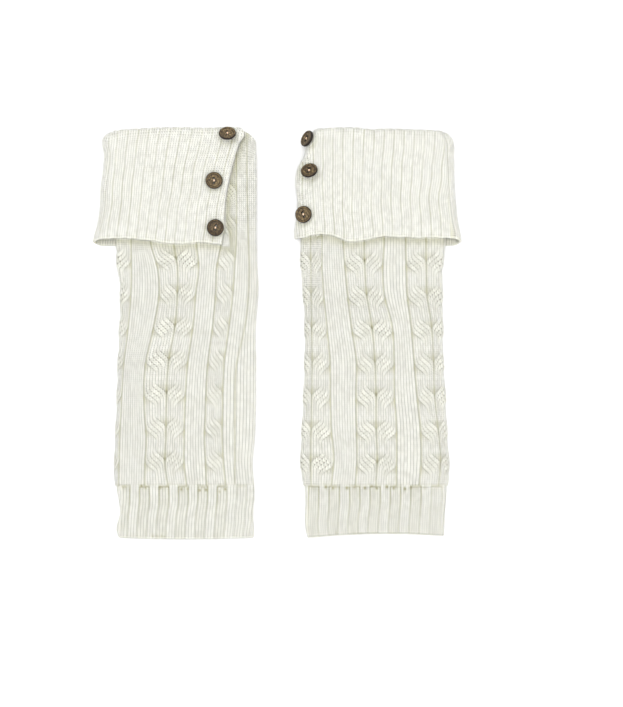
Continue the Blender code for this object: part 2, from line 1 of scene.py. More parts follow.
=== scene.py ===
"""The looks of a pair of ivory cable-knit leg warmers with turned-down, buttoned cuffs.

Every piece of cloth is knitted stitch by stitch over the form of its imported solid: a grid whose
columns follow the wales and whose rows follow the V of the stitches. Sizes in the tables are
millimetres. "down" runs from the fold at the top of the cuff towards the ankle hem, x runs from
each warmer's own middle line, and s runs round a tube from its left side over the top.
"""

import logging
import math
from collections import namedtuple
from dataclasses import dataclass
from enum import Enum
from typing import NamedTuple

import bmesh
import bpy
import numpy as np
from mathutils import Matrix, Vector


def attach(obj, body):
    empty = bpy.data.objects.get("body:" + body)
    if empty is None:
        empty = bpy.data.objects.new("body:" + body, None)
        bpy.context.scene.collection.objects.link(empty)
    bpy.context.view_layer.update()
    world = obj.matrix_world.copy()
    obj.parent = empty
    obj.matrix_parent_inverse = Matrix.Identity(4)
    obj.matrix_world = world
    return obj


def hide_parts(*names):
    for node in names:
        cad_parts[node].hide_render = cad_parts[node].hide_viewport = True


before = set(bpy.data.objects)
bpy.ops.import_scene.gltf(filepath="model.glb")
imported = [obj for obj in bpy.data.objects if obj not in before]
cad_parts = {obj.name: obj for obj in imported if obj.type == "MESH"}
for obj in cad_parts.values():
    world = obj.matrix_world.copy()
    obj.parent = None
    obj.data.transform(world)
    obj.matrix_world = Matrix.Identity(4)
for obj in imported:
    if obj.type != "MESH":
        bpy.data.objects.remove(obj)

LOG = logging.getLogger("leg_warmers")
BODY = "root"
MM = 0.001


class Side(Enum):
    """Which warmer of the pair, as seen from above."""

    LEFT = "left"
    RIGHT = "right"


class Band(Enum):
    """What a lengthwise band of the leg is knitted in."""

    PLAIN = "plain"
    OUT_LEFT = "half a cable whose outer side is left"
    OUT_RIGHT = "half a cable whose outer side is right"


def table(kind: type, *rows: tuple) -> tuple:
    """Turns plain rows of numbers into named ones."""
    return tuple(kind(*row) for row in rows)


# Where each warmer lies
TOP_Y = 207.14
MIDDLE_X = {Side.LEFT: -90.22, Side.RIGHT: 95.78}

# Cloth
TUBE_HEIGHT = 5.2
TUBE_CROWN = 0.6
LEG_WALL = 1.7
CUFF_WALL = 2.0
LIFT = 3.2  # the leg lies this high where the cuff's back layer is under it
LIFT_ENDS = (112.0, 150.0)
SEAM_DOWN = 11.0  # where the cuff is joined to the leg, inside the fold
SEAM_GAP = 0.5
ANKLE_DOWN = 360.0
OVERLAP = 1.5  # how far the leg's end and the ankle's start run past that line

BACK_RISE = 0.6  # how deep the stitches of the undersides are, as a share
GROOVE_SHADE = 1.1  # the shade of the bottom of a purl groove
HOLE_SHADE = 2.0  # and of an open gap between stitches
LOWEST = 0.02  # no point of the cloth lies lower than this

# Cables
CABLE_PITCH = 33.6
FIRST_CROSSING = {Side.LEFT: 97.4, Side.RIGHT: 100.2}
CROSSINGS = 8

LeftLevel = namedtuple(
    "LeftLevel",
    "down left edge cable_left cable_mid cable_right side_left side_right seam right",
)
RightLevel = namedtuple(
    "RightLevel",
    "down left edge_mid edge_right cable_left cable_mid cable_right side_left side_mid right",
)
Notch = namedtuple("Notch", "column below width length strength")
# The slits in the cables' middles, and the notches at their sides, at every crossing, painted dark as shade
NOTCHES = (
    Notch("cable_mid", 0.0, 1.25, 2.7, 1.0),
    Notch("cable_left", 6.5, 1.0, 1.5, 0.75),
    Notch("cable_right", 6.0, 1.0, 1.4, 0.75),
    Notch("side_left", 7.0, 1.0, 1.6, 0.7),
)
NOTCH_SHARES = (0.8, 1.0, 0.65, 0.9, 1.0, 0.75, 0.95)  # how open each is, in turn
LEVELS = {
    Side.LEFT: table(
        LeftLevel,
        (11, -72.0, -60, -33, -11.5, 10.0, 34.0, 49.0, 60.0, 69.0),
        (60, -71.0, -58, -35, -13.0, 9.0, 34.3, 49.5, 60.0, 69.6),
        (118, -69.6, -56, -36.4, -13.2, 9.3, 34.3, 49.0, 61.5, 69.5),
        (142, -68.3, -56, -29.7, -9.9, 11.5, 29.4, 47.4, 62.0, 70.3),
        (164, -65.5, -56.5, -28.1, -9.9, 8.8, 28.6, 46.0, 61.5, 71.4),
        (197, -66.0, -59, -33.0, -12.1, 6.0, 25.8, 42.2, 58.3, 68.8),
        (241, -67.7, -64, -42.4, -19.3, 0.0, 20.3, 36.5, 49.0, 69.0),
        (285, -69.0, -66.5, -43.1, -21.2, -2.5, 18.2, 35.3, 47.7, 68.9),
        (314, -70.4, -68, -41.2, -21.5, -3.1, 17.2, 35.0, 47.6, 67.8),
        (338, -71.0, -68.5, -42.5, -22.3, -3.2, 18.4, 36.4, 47.6, 65.6),
        (360, -71.7, -69, -43.0, -19.3, -0.7, 19.2, 38.4, 47.6, 67.2),
    ),
    Side.RIGHT: table(
        RightLevel,
        (11, -58.5, -54.0, -46.0, -28.0, -9.0, 11.0, 33.0, 53.0, 70.0),
        (30, -66.0, -60.0, -50.0, -29.5, -9.0, 11.0, 33.0, 53.0, 70.0),
        (60, -68.5, -61.5, -51.0, -30.0, -9.0, 11.0, 33.0, 53.0, 70.5),
        (118, -70.7, -62.4, -51.0, -29.7, -8.8, 11.0, 32.8, 53.0, 70.7),
        (142, -70.2, -62.0, -51.0, -27.8, -8.0, 9.8, 33.6, 53.6, 68.4),
        (166, -68.0, -62.0, -49.5, -25.7, -6.5, 11.0, 34.4, 54.0, 68.4),
        (201, -66.4, -61.5, -46.0, -21.4, -1.0, 19.6, 38.5, 59.0, 68.5),
        (235, -66.4, -61.0, -43.0, -16.5, 2.0, 21.4, 41.4, 61.0, 69.0),
        (269, -67.5, -61.5, -42.6, -17.0, 3.2, 21.6, 44.3, 61.8, 71.0),
        (302, -69.0, -62.0, -41.7, -16.5, 3.2, 23.7, 47.7, 65.4, 72.4),
        (334, -70.5, -62.5, -39.0, -16.0, 4.4, 23.8, 48.5, 68.0, 74.4),
        (360, -68.6, -62.0, -41.7, -17.6, 3.0, 23.6, 46.6, 66.0, 74.7),
    ),
}
BANDS = {
    Side.LEFT: (
        Band.OUT_RIGHT, Band.PLAIN, Band.OUT_LEFT, Band.OUT_RIGHT,
        Band.PLAIN, Band.OUT_LEFT, Band.PLAIN,
    ),
    Side.RIGHT: (
        Band.OUT_LEFT, Band.OUT_RIGHT, Band.PLAIN, Band.OUT_LEFT,
        Band.OUT_RIGHT, Band.PLAIN, Band.OUT_LEFT, Band.OUT_RIGHT,
    ),
}

AnkleLevel = namedtuple("AnkleLevel", "down left right rib_start rib_pitch")
ANKLES = {
    Side.LEFT: table(
        AnkleLevel,
        (360, -71.7, 67.2, -57.7, 9.78), (374, -69.0, 66.8, -57.7, 9.75),
        (388, -67.6, 65.8, -59.0, 9.72), (404, -71.2, 66.8, -60.3, 9.72),
        (414, -68.2, 65.9, -60.5, 9.72),
    ),
    Side.RIGHT: table(
        AnkleLevel,
        (360, -68.6, 74.7, -54.0, 10.25), (374, -67.6, 73.0, -54.3, 10.27),
        (388, -68.0, 72.2, -54.8, 10.2), (402, -67.6, 71.8, -55.5, 10.15),
        (412, -65.4, 70.8, -55.0, 10.15),
    ),
}
Bow = namedtuple("Bow", "down bow middle")
ANKLE_HEM = {Side.LEFT: Bow(413.4, -1.4, 0.0), Side.RIGHT: Bow(408.2, 3.2, 0.15)}

CuffLevel = namedtuple("CuffLevel", "down fold free rib_start rib_pitch curl")
CUFFS = {
    Side.LEFT: table(
        CuffLevel,
        (2, -84.0, 58.0, -79.5, 10.62, 0), (9, -85.3, 57.0, -79.9, 10.54, 0),
        (15, -85.0, 53.2, -80.4, 10.44, 0), (21, -83.6, 51.0, -81.0, 10.35, 0),
        (36, -84.2, 46.5, -82.2, 10.1, 0), (58, -87.0, 41.0, -83.4, 9.8, 0),
        (81, -88.2, 38.0, -85.0, 9.55, 0), (99, -91.2, 38.5, -87.5, 9.6, 0),
        (110, -94.0, 41.0, -89.0, 9.6, 0), (120, -92.6, 41.8, -89.4, 9.6, 0),
    ),
    Side.RIGHT: table(
        CuffLevel,
        (2, 78.0, -60.0, 82.3, -10.15, 3.0), (12, 81.2, -66.0, 81.6, -10.1, 3.0),
        (25, 81.2, -70.6, 80.0, -10.0, 3.5), (36, 81.6, -76.0, 78.6, -9.9, 4.2),
        (48, 81.8, -78.0, 78.2, -9.88, 4.6), (72, 83.3, -76.0, 75.6, -9.67, 4.6),
        (96, 86.0, -77.8, 77.0, -9.7, 4.6), (108, 88.4, -79.4, 77.6, -9.7, 4.6),
        (120, 86.6, -77.0, 77.4, -9.7, 4.6),
    ),
}
CUFF_RIBS = {Side.LEFT: 13, Side.RIGHT: 16}
BACK_END = {Side.LEFT: 63.0, Side.RIGHT: -64.0}
CURL_WIDTH = 8.0
FRONT_ROLL = {"down": 9.5, "reach": 7.5, "low": 7.5, "high": 14.2}
BACK_ROLL = {"down": 8.0, "reach": 4.5, "low": 1.0, "high": 4.3}
FRONT_HEM_Z = 11.7
FRONT_SETTLE = 40.0
BACK_HEM_DOWN = 119.0

EdgePoint = namedtuple("EdgePoint", "x down")
FOLD = {
    Side.LEFT: table(
        EdgePoint,
        (-88, 12), (-80, 7.5), (-68, 3.6), (-41, 0.6), (-20, -0.6), (20, 0.8), (54, 1.5), (60, 4),
        (66, 9), (70, 14),
    ),
    Side.RIGHT: table(
        EdgePoint,
        (-68, 9), (-60, 3), (-50, 1.6), (-8, 1.2), (-2, 3), (6, 1.8), (40, 2.4), (66, 4.6), (76, 8),
        (86, 15),
    ),
}
SEAM = {
    Side.LEFT: (EdgePoint(-72, 4.0), EdgePoint(70, 1.0)),
    Side.RIGHT: (EdgePoint(-72, 2.0), EdgePoint(72, 4.5)),
}
HEM = {
    Side.LEFT: table(
        EdgePoint,
        (-93, 113.5), (-68, 112), (-39, 114), (-15, 117.5), (20, 116.5), (42, 120),
    ),
    Side.RIGHT: table(
        EdgePoint,
        (-80, 113), (-43, 108.6), (-25, 115), (10, 110.5), (40, 111.5), (70, 111.5), (88, 113),
    ),
}
SLANT_FROM = 59.3  # x, past which the left leg's top edge turns back in a slant beside the slit
SLANT_RISE = 2.2

ButtonSpot = namedtuple("ButtonSpot", "place x down z lean_right lean_up spin")
# lean is how far the face turns to the right and towards the fold, and spin turns its two holes
BUTTONS = {
    Side.LEFT: table(
        ButtonSpot,
        ("top", 40.9, 8.4, 21.6, 0, 40, 100), ("middle", 27.4, 54.9, 17.3, 0, 4, 96),
        ("bottom", 28.7, 101.9, 16.2, 4, 3, 70),
    ),
    Side.RIGHT: table(
        ButtonSpot,
        ("top", -66.0, 12.6, 11.9, -54, 20, 80), ("middle", -63.8, 45.3, 20.75, -16, 34, 90),
        ("bottom", -69.5, 88.6, 15.45, -17, 4, 112),
    ),
}


Crease = namedtuple("Crease", "x down turn length width depth")
# Soft troughs, and ridges where the depth is below 0; turn is from the leg's own direction, in degrees
LEG_CREASES = {
    Side.LEFT: table(
        Crease,
        (-50, 176, 12, 52, 6.0, 0.55), (-46, 262, -7, 70, 7.5, -0.45), (-52, 318, 9, 38, 5.0, 0.5),
        (14, 208, 14, 44, 5.5, -0.4), (10, 300, -6, 58, 6.5, 0.5), (60, 150, -9, 60, 5.0, 0.6),
        (58, 226, 6, 46, 6.0, -0.5), (57, 300, -4, 66, 5.0, 0.55), (-24, 341, 62, 30, 5.0, 0.4),
        (26, 345, -48, 26, 4.5, 0.4), (61, 66, 4, 48, 4.5, 0.5),
    ),
    Side.RIGHT: table(
        Crease,
        (-36, 168, -10, 48, 6.0, 0.5), (-30, 248, 8, 64, 7.0, -0.45), (-28, 322, -5, 40, 5.5, 0.55),
        (30, 182, 9, 52, 6.0, -0.4), (33, 262, -7, 60, 7.0, 0.5), (37, 333, 10, 34, 5.0, 0.45),
        (-63, 208, 5, 58, 4.5, 0.5), (64, 236, -6, 62, 5.0, 0.5), (-8, 344, -58, 28, 5.0, 0.4),
        (52, 346, 55, 24, 4.5, 0.4),
    ),
}
CREASE_WANDER, CREASE_BEND = 0.12, 5.0  # how far a crease strays from its line, and how often
BACK_CREASES = {
    Side.LEFT: table(
        Crease,
        (-34, 190, 14, 74, 7.0, 0.6), (22, 236, -9, 92, 8.5, 0.7), (-8, 318, 38, 44, 6.0, 0.5),
        (48, 150, -20, 50, 6.0, 0.55), (-52, 292, -6, 58, 6.5, 0.5),
    ),
    Side.RIGHT: table(
        Crease,
        (30, 204, -12, 82, 8.0, 0.65), (-26, 262, 10, 70, 7.0, 0.6), (8, 330, -42, 40, 6.0, 0.5),
        (-46, 166, 17, 46, 6.0, 0.5), (54, 300, 5, 62, 6.0, 0.55),
    ),
}
CUFF_CREASES = {
    Side.LEFT: table(
        Crease,
        (-66, 44, 11, 52, 5.0, 0.5), (-44, 30, 9, 40, 4.5, -0.35), (-34, 64, 13, 58, 4.0, 0.55),
        (-6, 38, 10, 36, 5.0, 0.35), (6, 84, 12, 42, 5.5, -0.35), (-58, 92, 8, 34, 5.5, 0.4),
        (24, 30, 34, 22, 3.5, 0.4), (14, 58, 82, 20, 3.5, 0.35), (16, 104, 76, 20, 3.5, 0.35),
        (34, 78, 8, 24, 3.5, 0.35),
    ),
    Side.RIGHT: table(
        Crease,
        (58, 58, 5, 56, 4.0, 0.6), (30, 40, -8, 40, 5.0, -0.35), (12, 66, -4, 62, 4.5, 0.5),
        (-20, 44, -9, 48, 5.5, 0.4), (-44, 82, 7, 40, 4.0, 0.5), (-50, 52, -86, 22, 3.5, 0.35),
        (-54, 92, -78, 22, 3.5, 0.35), (-58, 24, -38, 24, 3.5, 0.35), (70, 90, -6, 34, 5.0, 0.4),
        (-68, 66, 4, 26, 3.5, 0.3),
    ),
}
ANKLE_CREASES = {
    Side.LEFT: table(
        Crease,
        (-40, 390, 4, 34, 4.5, 0.4), (6, 384, -5, 30, 5.0, -0.35), (30, 396, 6, 26, 4.5, 0.4),
        (56, 386, 2, 36, 5.0, 0.35),
    ),
    Side.RIGHT: table(
        Crease,
        (-48, 392, 14, 34, 4.5, 0.45), (-16, 386, -4, 28, 5.0, -0.35), (22, 394, 5, 26, 4.5, 0.35),
        (60, 388, -3, 34, 5.0, 0.4),
    ),
}
Spot = namedtuple("Spot", "x down width strength")
# Small gaps between stitches where the ribs start, and the eyelets of the cast-on edge, painted dark as
# shade
GAPS = {
    Side.LEFT: table(
        Spot,
        (-65, 361.5, 1.3, 0.6), (-46, 360.5, 1.6, 1.0), (-41.5, 362.0, 1.2, 0.8),
        (-27, 362.0, 1.3, 0.9), (-21, 361.0, 1.2, 0.7), (-6, 363.5, 1.5, 0.9), (0, 363.0, 1.1, 0.8),
        (12.5, 364.5, 1.4, 1.0), (18.5, 364.0, 1.5, 1.0), (32.5, 366.0, 1.2, 0.8),
        (38, 363.5, 1.4, 1.0), (-34.5, 410.0, 0.9, 1.0), (-30, 410.3, 0.8, 0.9),
        (-25.5, 410.0, 0.9, 1.0), (-23, 410.6, 0.7, 0.8),
    ),
    Side.RIGHT: table(
        Spot,
        (-47, 361.0, 1.6, 1.0), (-40, 362.5, 1.4, 0.9), (-26, 362.0, 1.5, 1.0),
        (-18.5, 361.5, 1.3, 0.8), (-8, 362.0, 1.5, 1.0), (-1, 360.5, 1.4, 0.9),
        (4, 362.5, 1.4, 1.0), (14, 361.0, 1.6, 1.0), (21, 362.5, 1.4, 0.9), (32, 363.0, 1.5, 1.0),
        (38.5, 361.5, 1.6, 1.0), (52, 361.5, 1.2, 0.6), (-37, 407.0, 0.8, 0.9),
        (-19, 407.5, 0.7, 0.7), (-12, 407.5, 0.8, 0.8), (33, 406.0, 0.7, 0.7),
    ),
}


@dataclass(frozen=True)
class Gauge:
    """How the yarn knits up, in millimetres and in courses."""

    wale: float = 2.45
    course: float = 2.1
    arm: float = 1.1  # how far down each arm of a stitch's V runs, in courses
    rows: int = 2  # grid rows to a course
    across: float = 0.4  # depth of the grooves between and inside the wales
    between: float = 0.45  # the share of it that lies between the wales
    along: float = 0.8  # depth between one course and the next
    uneven: float = 0.16  # how much the depth changes from stitch to stitch

    @property
    def fine(self) -> float:
        """The height of a grid row."""
        return self.course / self.rows


@dataclass(frozen=True)
class YarnFinish:
    """The ivory yarn's colours and surface."""

    crest: tuple = (0.835, 0.835, 0.77)
    tint: tuple = (0.85, 0.845, 0.785)
    # painted yellowish shade in the hollows, where points lie deep
    hollow: tuple = (0.5, 0.49, 0.33)
    # painted dark shade in the gaps between stitches
    pore: tuple = (0.15, 0.145, 0.1)
    openness: float = 2.2  # how dark the painted shade in the gaps between stitches is
    sharpness: float = 1.8  # and how small
    tint_scale: float = 42.0
    mottle: float = 0.26  # how much darker some stitches are than others
    mottle_level: float = 0.35  # the share of the stitches that stay pale
    roughness: float = 0.92
    specular: float = 0.25
    sheen: float = 0.35
    nap: float = 0.45  # how rough the sheen is
    ply: tuple = (3.0, 7.0)  # how often the ply turns along a stitch, and across
    twist: float = 0.22  # how deep its turns are
    fibre: float = 0.25
    fibre_scale: float = 1900.0
    fibre_depth: float = 0.0003
    glow: float = 0.35  # how much light passes through the yarn
    glow_reach: float = 0.0015
    glow_colour: tuple = (1.0, 0.95, 0.7)


@dataclass(frozen=True)
class ShellFinish:
    """The coconut-shell buttons' colours and surface, with distances in metres."""

    face: tuple = (0.1, 0.066, 0.029)
    dark: tuple = (0.012, 0.007, 0.004)
    fleck: tuple = (0.33, 0.24, 0.115)
    grain: tuple = (420.0, 2100.0, 900.0)  # how fine the fibres are, along and across
    steps: tuple = (0.4, 0.52, 0.66)  # where the grain is dark, brown and pale
    patches: tuple = (700.0, 0.6)  # how fine the patches are, and their share of the grain
    streaks: float = 0.45  # the fibres' share of it
    specks: tuple = (900.0, 0.22, 0.55)  # how fine the dark specks are, how wide and how dark
    roughness: float = 0.58
    specular: float = 0.3
    edge: float = 0.97  # how dark the outline is, and the painted shade of the ring groove and the holes
    rim: tuple = (0.0074, 0.0081)
    # the ring is painted shade in the groove round the dish
    ring: float = 0.0061
    ring_sharpness: float = 1500.0
    ring_depth: float = 0.9
    bore: float = 0.00045  # how far round a hole its painted shade reaches
    under: tuple = (0.0013, 0.0008)  # the heights between which the side darkens
    side: float = 0.0072
    bump: tuple = (0.3, 0.0002)
    worn: tuple = (0.65, 1.0, 0.06)  # from the darkest lot to the plain ones, and how much darker


GAUGE = Gauge()
YARN = YarnFinish()
THREAD = YarnFinish(crest=(0.97, 0.68, 0.45), tint=(0.95, 0.64, 0.42), mottle=0.0)
SHELL = ShellFinish()


def smooth_step(t: np.ndarray) -> np.ndarray:
    """Rises from 0 to 1 with level ends as t rises from 0 to 1."""
    t = np.clip(t, 0.0, 1.0)
    return t * t * (3.0 - 2.0 * t)


def rising(least: float, t: np.ndarray) -> np.ndarray:
    """Rises from least to 1 as t rises from 0 to 1."""
    return least + (1 - least) * t


def read(rows: tuple, column: str, at: np.ndarray, along: str = "down") -> np.ndarray:
    """Reads a column of a table on a smooth curve through its rows.

    Args:
        rows: The table's rows.
        column: The column to read.
        at: Places along it.
        along: The column that holds the rows' own places.

    Returns:
        The column's value at each place.
    """
    x = np.array([getattr(row, along) for row in rows], float)
    y = np.array([getattr(row, column) for row in rows], float)
    slope = np.gradient(y, x)
    at = np.clip(np.asarray(at, float), x[0], x[-1])
    i = np.clip(np.searchsorted(x, at, side="right") - 1, 0, len(x) - 2)
    width = x[i + 1] - x[i]
    t = (at - x[i]) / width
    return (
        (2 * t**3 - 3 * t**2 + 1) * y[i]
        + (t**3 - 2 * t**2 + t) * width * slope[i]
        + (3 * t**2 - 2 * t**3) * y[i + 1]
        + (t**3 - t**2) * width * slope[i + 1]
    )


# The ankle's first course: how far it is shifted and sways, and the lengths of its waves
START_WAVE = (-0.4, 0.7, 2.7, 7.7)

# The cloth's slow unevenness: waves that never line up, by their length across and along
WAVES = ((17.0, 41.0, 1.0), (29.0, -23.0, 2.1), (60.0, 13.5, 1.3))


def ripple(x: np.ndarray, down: np.ndarray, seed: float) -> np.ndarray:
    """The height of the cloth's waves, from about -1 to 1; the seed keeps two pieces from matching."""
    return sum(np.sin(x / wide + down / long + shift * seed) for wide, long, shift in WAVES) / len(WAVES)


def troughs(creases: tuple, x: np.ndarray, down: np.ndarray) -> np.ndarray:
    """How deep the cloth is creased at each place.

    Args:
        creases: The table of its creases.
        x: Places across.
        down: Places along.

    Returns:
        The depth, below 0 on a ridge.
    """
    deep = np.zeros(np.broadcast(x, down).shape)
    for crease in creases:
        turn = math.radians(crease.turn)
        along = (down - crease.down) * math.cos(turn) + (x - crease.x) * math.sin(turn)
        off = (x - crease.x) * math.cos(turn) - (down - crease.down) * math.sin(turn)
        off = off + CREASE_WANDER * crease.width * np.sin(along / CREASE_BEND)
        run = np.clip(1 - (2 * along / crease.length) ** 2, 0.0, 1.0)
        deep = deep + crease.depth * run**1.5 * np.exp(-((off / crease.width) ** 2))
    return deep


def uneven_start(x: np.ndarray) -> np.ndarray:
    """The line, as down, where the leg's courses end and the ankle's ribs start."""
    shift, sway, short, long = START_WAVE
    return ANKLE_DOWN + shift + sway * np.sin(x / short) * np.sin(x / long + 1.0)


def spotted(spots: tuple, x: np.ndarray, down: np.ndarray) -> np.ndarray:
    """How open the cloth is at each place, for the painted shade in its gaps.

    Args:
        spots: The table of its gaps.
        x: Places across.
        down: Places along.

    Returns:
        The share, from 0 to 1.
    """
    shares = []
    for spot in spots:
        far = (x - spot.x) ** 2 + (down - spot.down) ** 2
        shares.append(spot.strength * np.exp(-far / spot.width**2))
    return np.clip(np.max(shares, axis=0), 0.0, 1.0)


class Nodes:
    """Adds nodes to a tree with few words."""

    def __init__(self, tree: bpy.types.NodeTree) -> None:
        self.tree = tree

    def add(self, kind: str, inputs: dict | None = None, **settings: object) -> bpy.types.Node:
        """Adds a node.

        Args:
            kind: The node's type name.
            inputs: A value, or a socket to link, for each input's name or index.
            **settings: Its properties.

        Returns:
            The new node.
        """
        node = self.tree.nodes.new(kind)
        for name, value in settings.items():
            setattr(node, name, value)
        return self.fill(node, inputs or {})

    def fill(self, node: bpy.types.Node, inputs: dict) -> bpy.types.Node:
        """Gives a node's inputs their values.

        Args:
            node: The node.
            inputs: A value, or a socket to link, for each input's name or index.

        Returns:
            The same node.
        """
        for name, value in inputs.items():
            if isinstance(value, bpy.types.NodeSocket):
                self.tree.links.new(value, node.inputs[name])
            else:
                node.inputs[name].default_value = value
        return node

    def math(self, operation: str, *values: object) -> bpy.types.NodeSocket:
        """Does a sum on numbers or sockets."""
        return self.add("ShaderNodeMath", dict(enumerate(values)), operation=operation).outputs[0]

    def wave(self, place: bpy.types.NodeSocket) -> bpy.types.NodeSocket:
        """Makes a wave from 0 to 1, which is 1 at every whole number."""
        turned = self.math("COSINE", self.math("MULTIPLY", place, 2 * math.pi))
        return self.math("MULTIPLY_ADD", turned, 0.5, 0.5)

    def far(self, x: bpy.types.NodeSocket, y: bpy.types.NodeSocket) -> bpy.types.NodeSocket:
        """Measures how far a place is from the middle."""
        return self.math("SQRT", self.math("ADD", *(self.math("POWER", value, 2.0) for value in (x, y))))

    def attribute(self, name: str, output: str = "Fac") -> bpy.types.NodeSocket:
        """Reads one of the mesh's attributes in a material."""
        return self.add("ShaderNodeAttribute", attribute_name=name).outputs[output]

    def combined(self, x: bpy.types.NodeSocket, y: bpy.types.NodeSocket) -> bpy.types.NodeSocket:
        """Joins two numbers into a place."""
        return self.add("ShaderNodeCombineXYZ", {"X": x, "Y": y}).outputs[0]

    def noise(self, place: bpy.types.NodeSocket, scale: float, detail: float = 2.0) -> bpy.types.NodeSocket:
        """Reads soft noise at a place."""
        inputs = {"Vector": place, "Scale": scale, "Detail": detail}
        return self.add("ShaderNodeTexNoise", inputs).outputs[0]

    def ranged(self, value: bpy.types.NodeSocket, *ends: float) -> bpy.types.NodeSocket:
        """Carries the range between the first two ends over to the last two, and holds it there."""
        return self.add("ShaderNodeMapRange", {0: value, **dict(enumerate(ends, 1))}).outputs[0]

    def mix(self, share: bpy.types.NodeSocket, *pair: object) -> bpy.types.NodeSocket:
        """Mixes two colours, or sockets, by the share of the second."""
        first, second = (c if isinstance(c, bpy.types.NodeSocket) else (*c, 1.0) for c in pair)
        return self.add("ShaderNodeMix", {0: share, 6: first, 7: second}, data_type="RGBA").outputs[2]


class StitchTree:
    """A Geometry Nodes tree that presses the stitches into a smooth knitted skin."""

    INPUTS = (
        ("Wale Depth", GAUGE.across * MM),
        ("Course Depth", GAUGE.along * MM),
        ("Unevenness", GAUGE.uneven * MM),
    )

    def __init__(self) -> None:
        self.tree = bpy.data.node_groups.new("press_stitches", "GeometryNodeTree")
        face = self.tree.interface
        face.new_socket("Geometry", in_out="INPUT", socket_type="NodeSocketGeometry")
        for name, value in self.INPUTS:
            face.new_socket(name, in_out="INPUT", socket_type="NodeSocketFloat").default_value = value
        face.new_socket("Material", in_out="INPUT", socket_type="NodeSocketMaterial")
        face.new_socket("Geometry", in_out="OUTPUT", socket_type="NodeSocketGeometry")
        self.build(Nodes(self.tree))

    def build(self, nodes: Nodes) -> None:
        """Lays out the tree.

        Args:
            nodes: The tree to fill.
        """
        start = nodes.add("NodeGroupInput").outputs
        read_from = "GeometryNodeInputNamedAttribute"
        wale, course, rise, outward = (
            nodes.add(read_from, {"Name": name}, data_type=kind).outputs["Attribute"]
            for name, kind in zip(("wale", "course", "rise", "outward"), (*3 * ("FLOAT",), "FLOAT_VECTOR"))
        )
        between = nodes.math("MULTIPLY", nodes.wave(wale), GAUGE.between)
        within = nodes.wave(nodes.math("MULTIPLY", wale, 2.0))
        across = nodes.math("MULTIPLY_ADD", within, 1 - GAUGE.between, between)
        along = nodes.wave(course)
        deep = nodes.math("MULTIPLY", across, start["Wale Depth"])
        deep = nodes.math("MULTIPLY_ADD", along, start["Course Depth"], deep)
        uneven = nodes.math("SUBTRACT", nodes.noise(nodes.combined(wale, course), 0.9), 0.5)
        uneven = nodes.math("MULTIPLY", nodes.math("MULTIPLY", uneven, start["Unevenness"]), rise)
        out = nodes.math("SUBTRACT", uneven, nodes.math("MULTIPLY", deep, rise))
        shift = nodes.add("ShaderNodeVectorMath", {0: outward, "Scale": out}, operation="SCALE").outputs[0]
        done = nodes.add("GeometryNodeSetPosition", {"Geometry": start["Geometry"], "Offset": shift})
        # Each point's share of a gap between stitches, kept for the painted shade there
        pore = nodes.math("MULTIPLY", nodes.math("MULTIPLY", across, along), rise)
        done = nodes.add(
            "GeometryNodeStoreNamedAttribute",
            {"Geometry": done.outputs[0], "Name": "pore", "Value": pore},
            data_type="FLOAT",
            domain="POINT",
        )
        done = nodes.add("GeometryNodeRealizeInstances", {"Geometry": done.outputs[0]})
        dressed = {"Geometry": done.outputs[0], "Material": start["Material"]}
        done = nodes.add("GeometryNodeSetMaterial", dressed)
        nodes.add("NodeGroupOutput", {"Geometry": done.outputs[0]})

    def press(self, item: bpy.types.Object, finish: bpy.types.Material) -> bpy.types.Object:
        """Runs the tree over an object and keeps the result as its plain mesh.

        Args:
            item: The object, whose mesh has the wale, course, rise, outward and shade attributes.
            finish: Its material.

        Returns:
            The same object.
        """
        modifier = item.modifiers.new("stitches", "NODES")
        modifier.node_group = self.tree
        sockets = {
            socket.name: socket.identifier
            for socket in self.tree.interface.items_tree
            if socket.in_out == "INPUT"
        }
        for name, value in (*self.INPUTS, ("Material", finish)):
            modifier[sockets[name]] = value
        graph = bpy.context.evaluated_depsgraph_get()
        mesh = bpy.data.meshes.new_from_object(item.evaluated_get(graph))
        mesh.name = item.name
        item.modifiers.remove(modifier)
        item.data = mesh
        return item


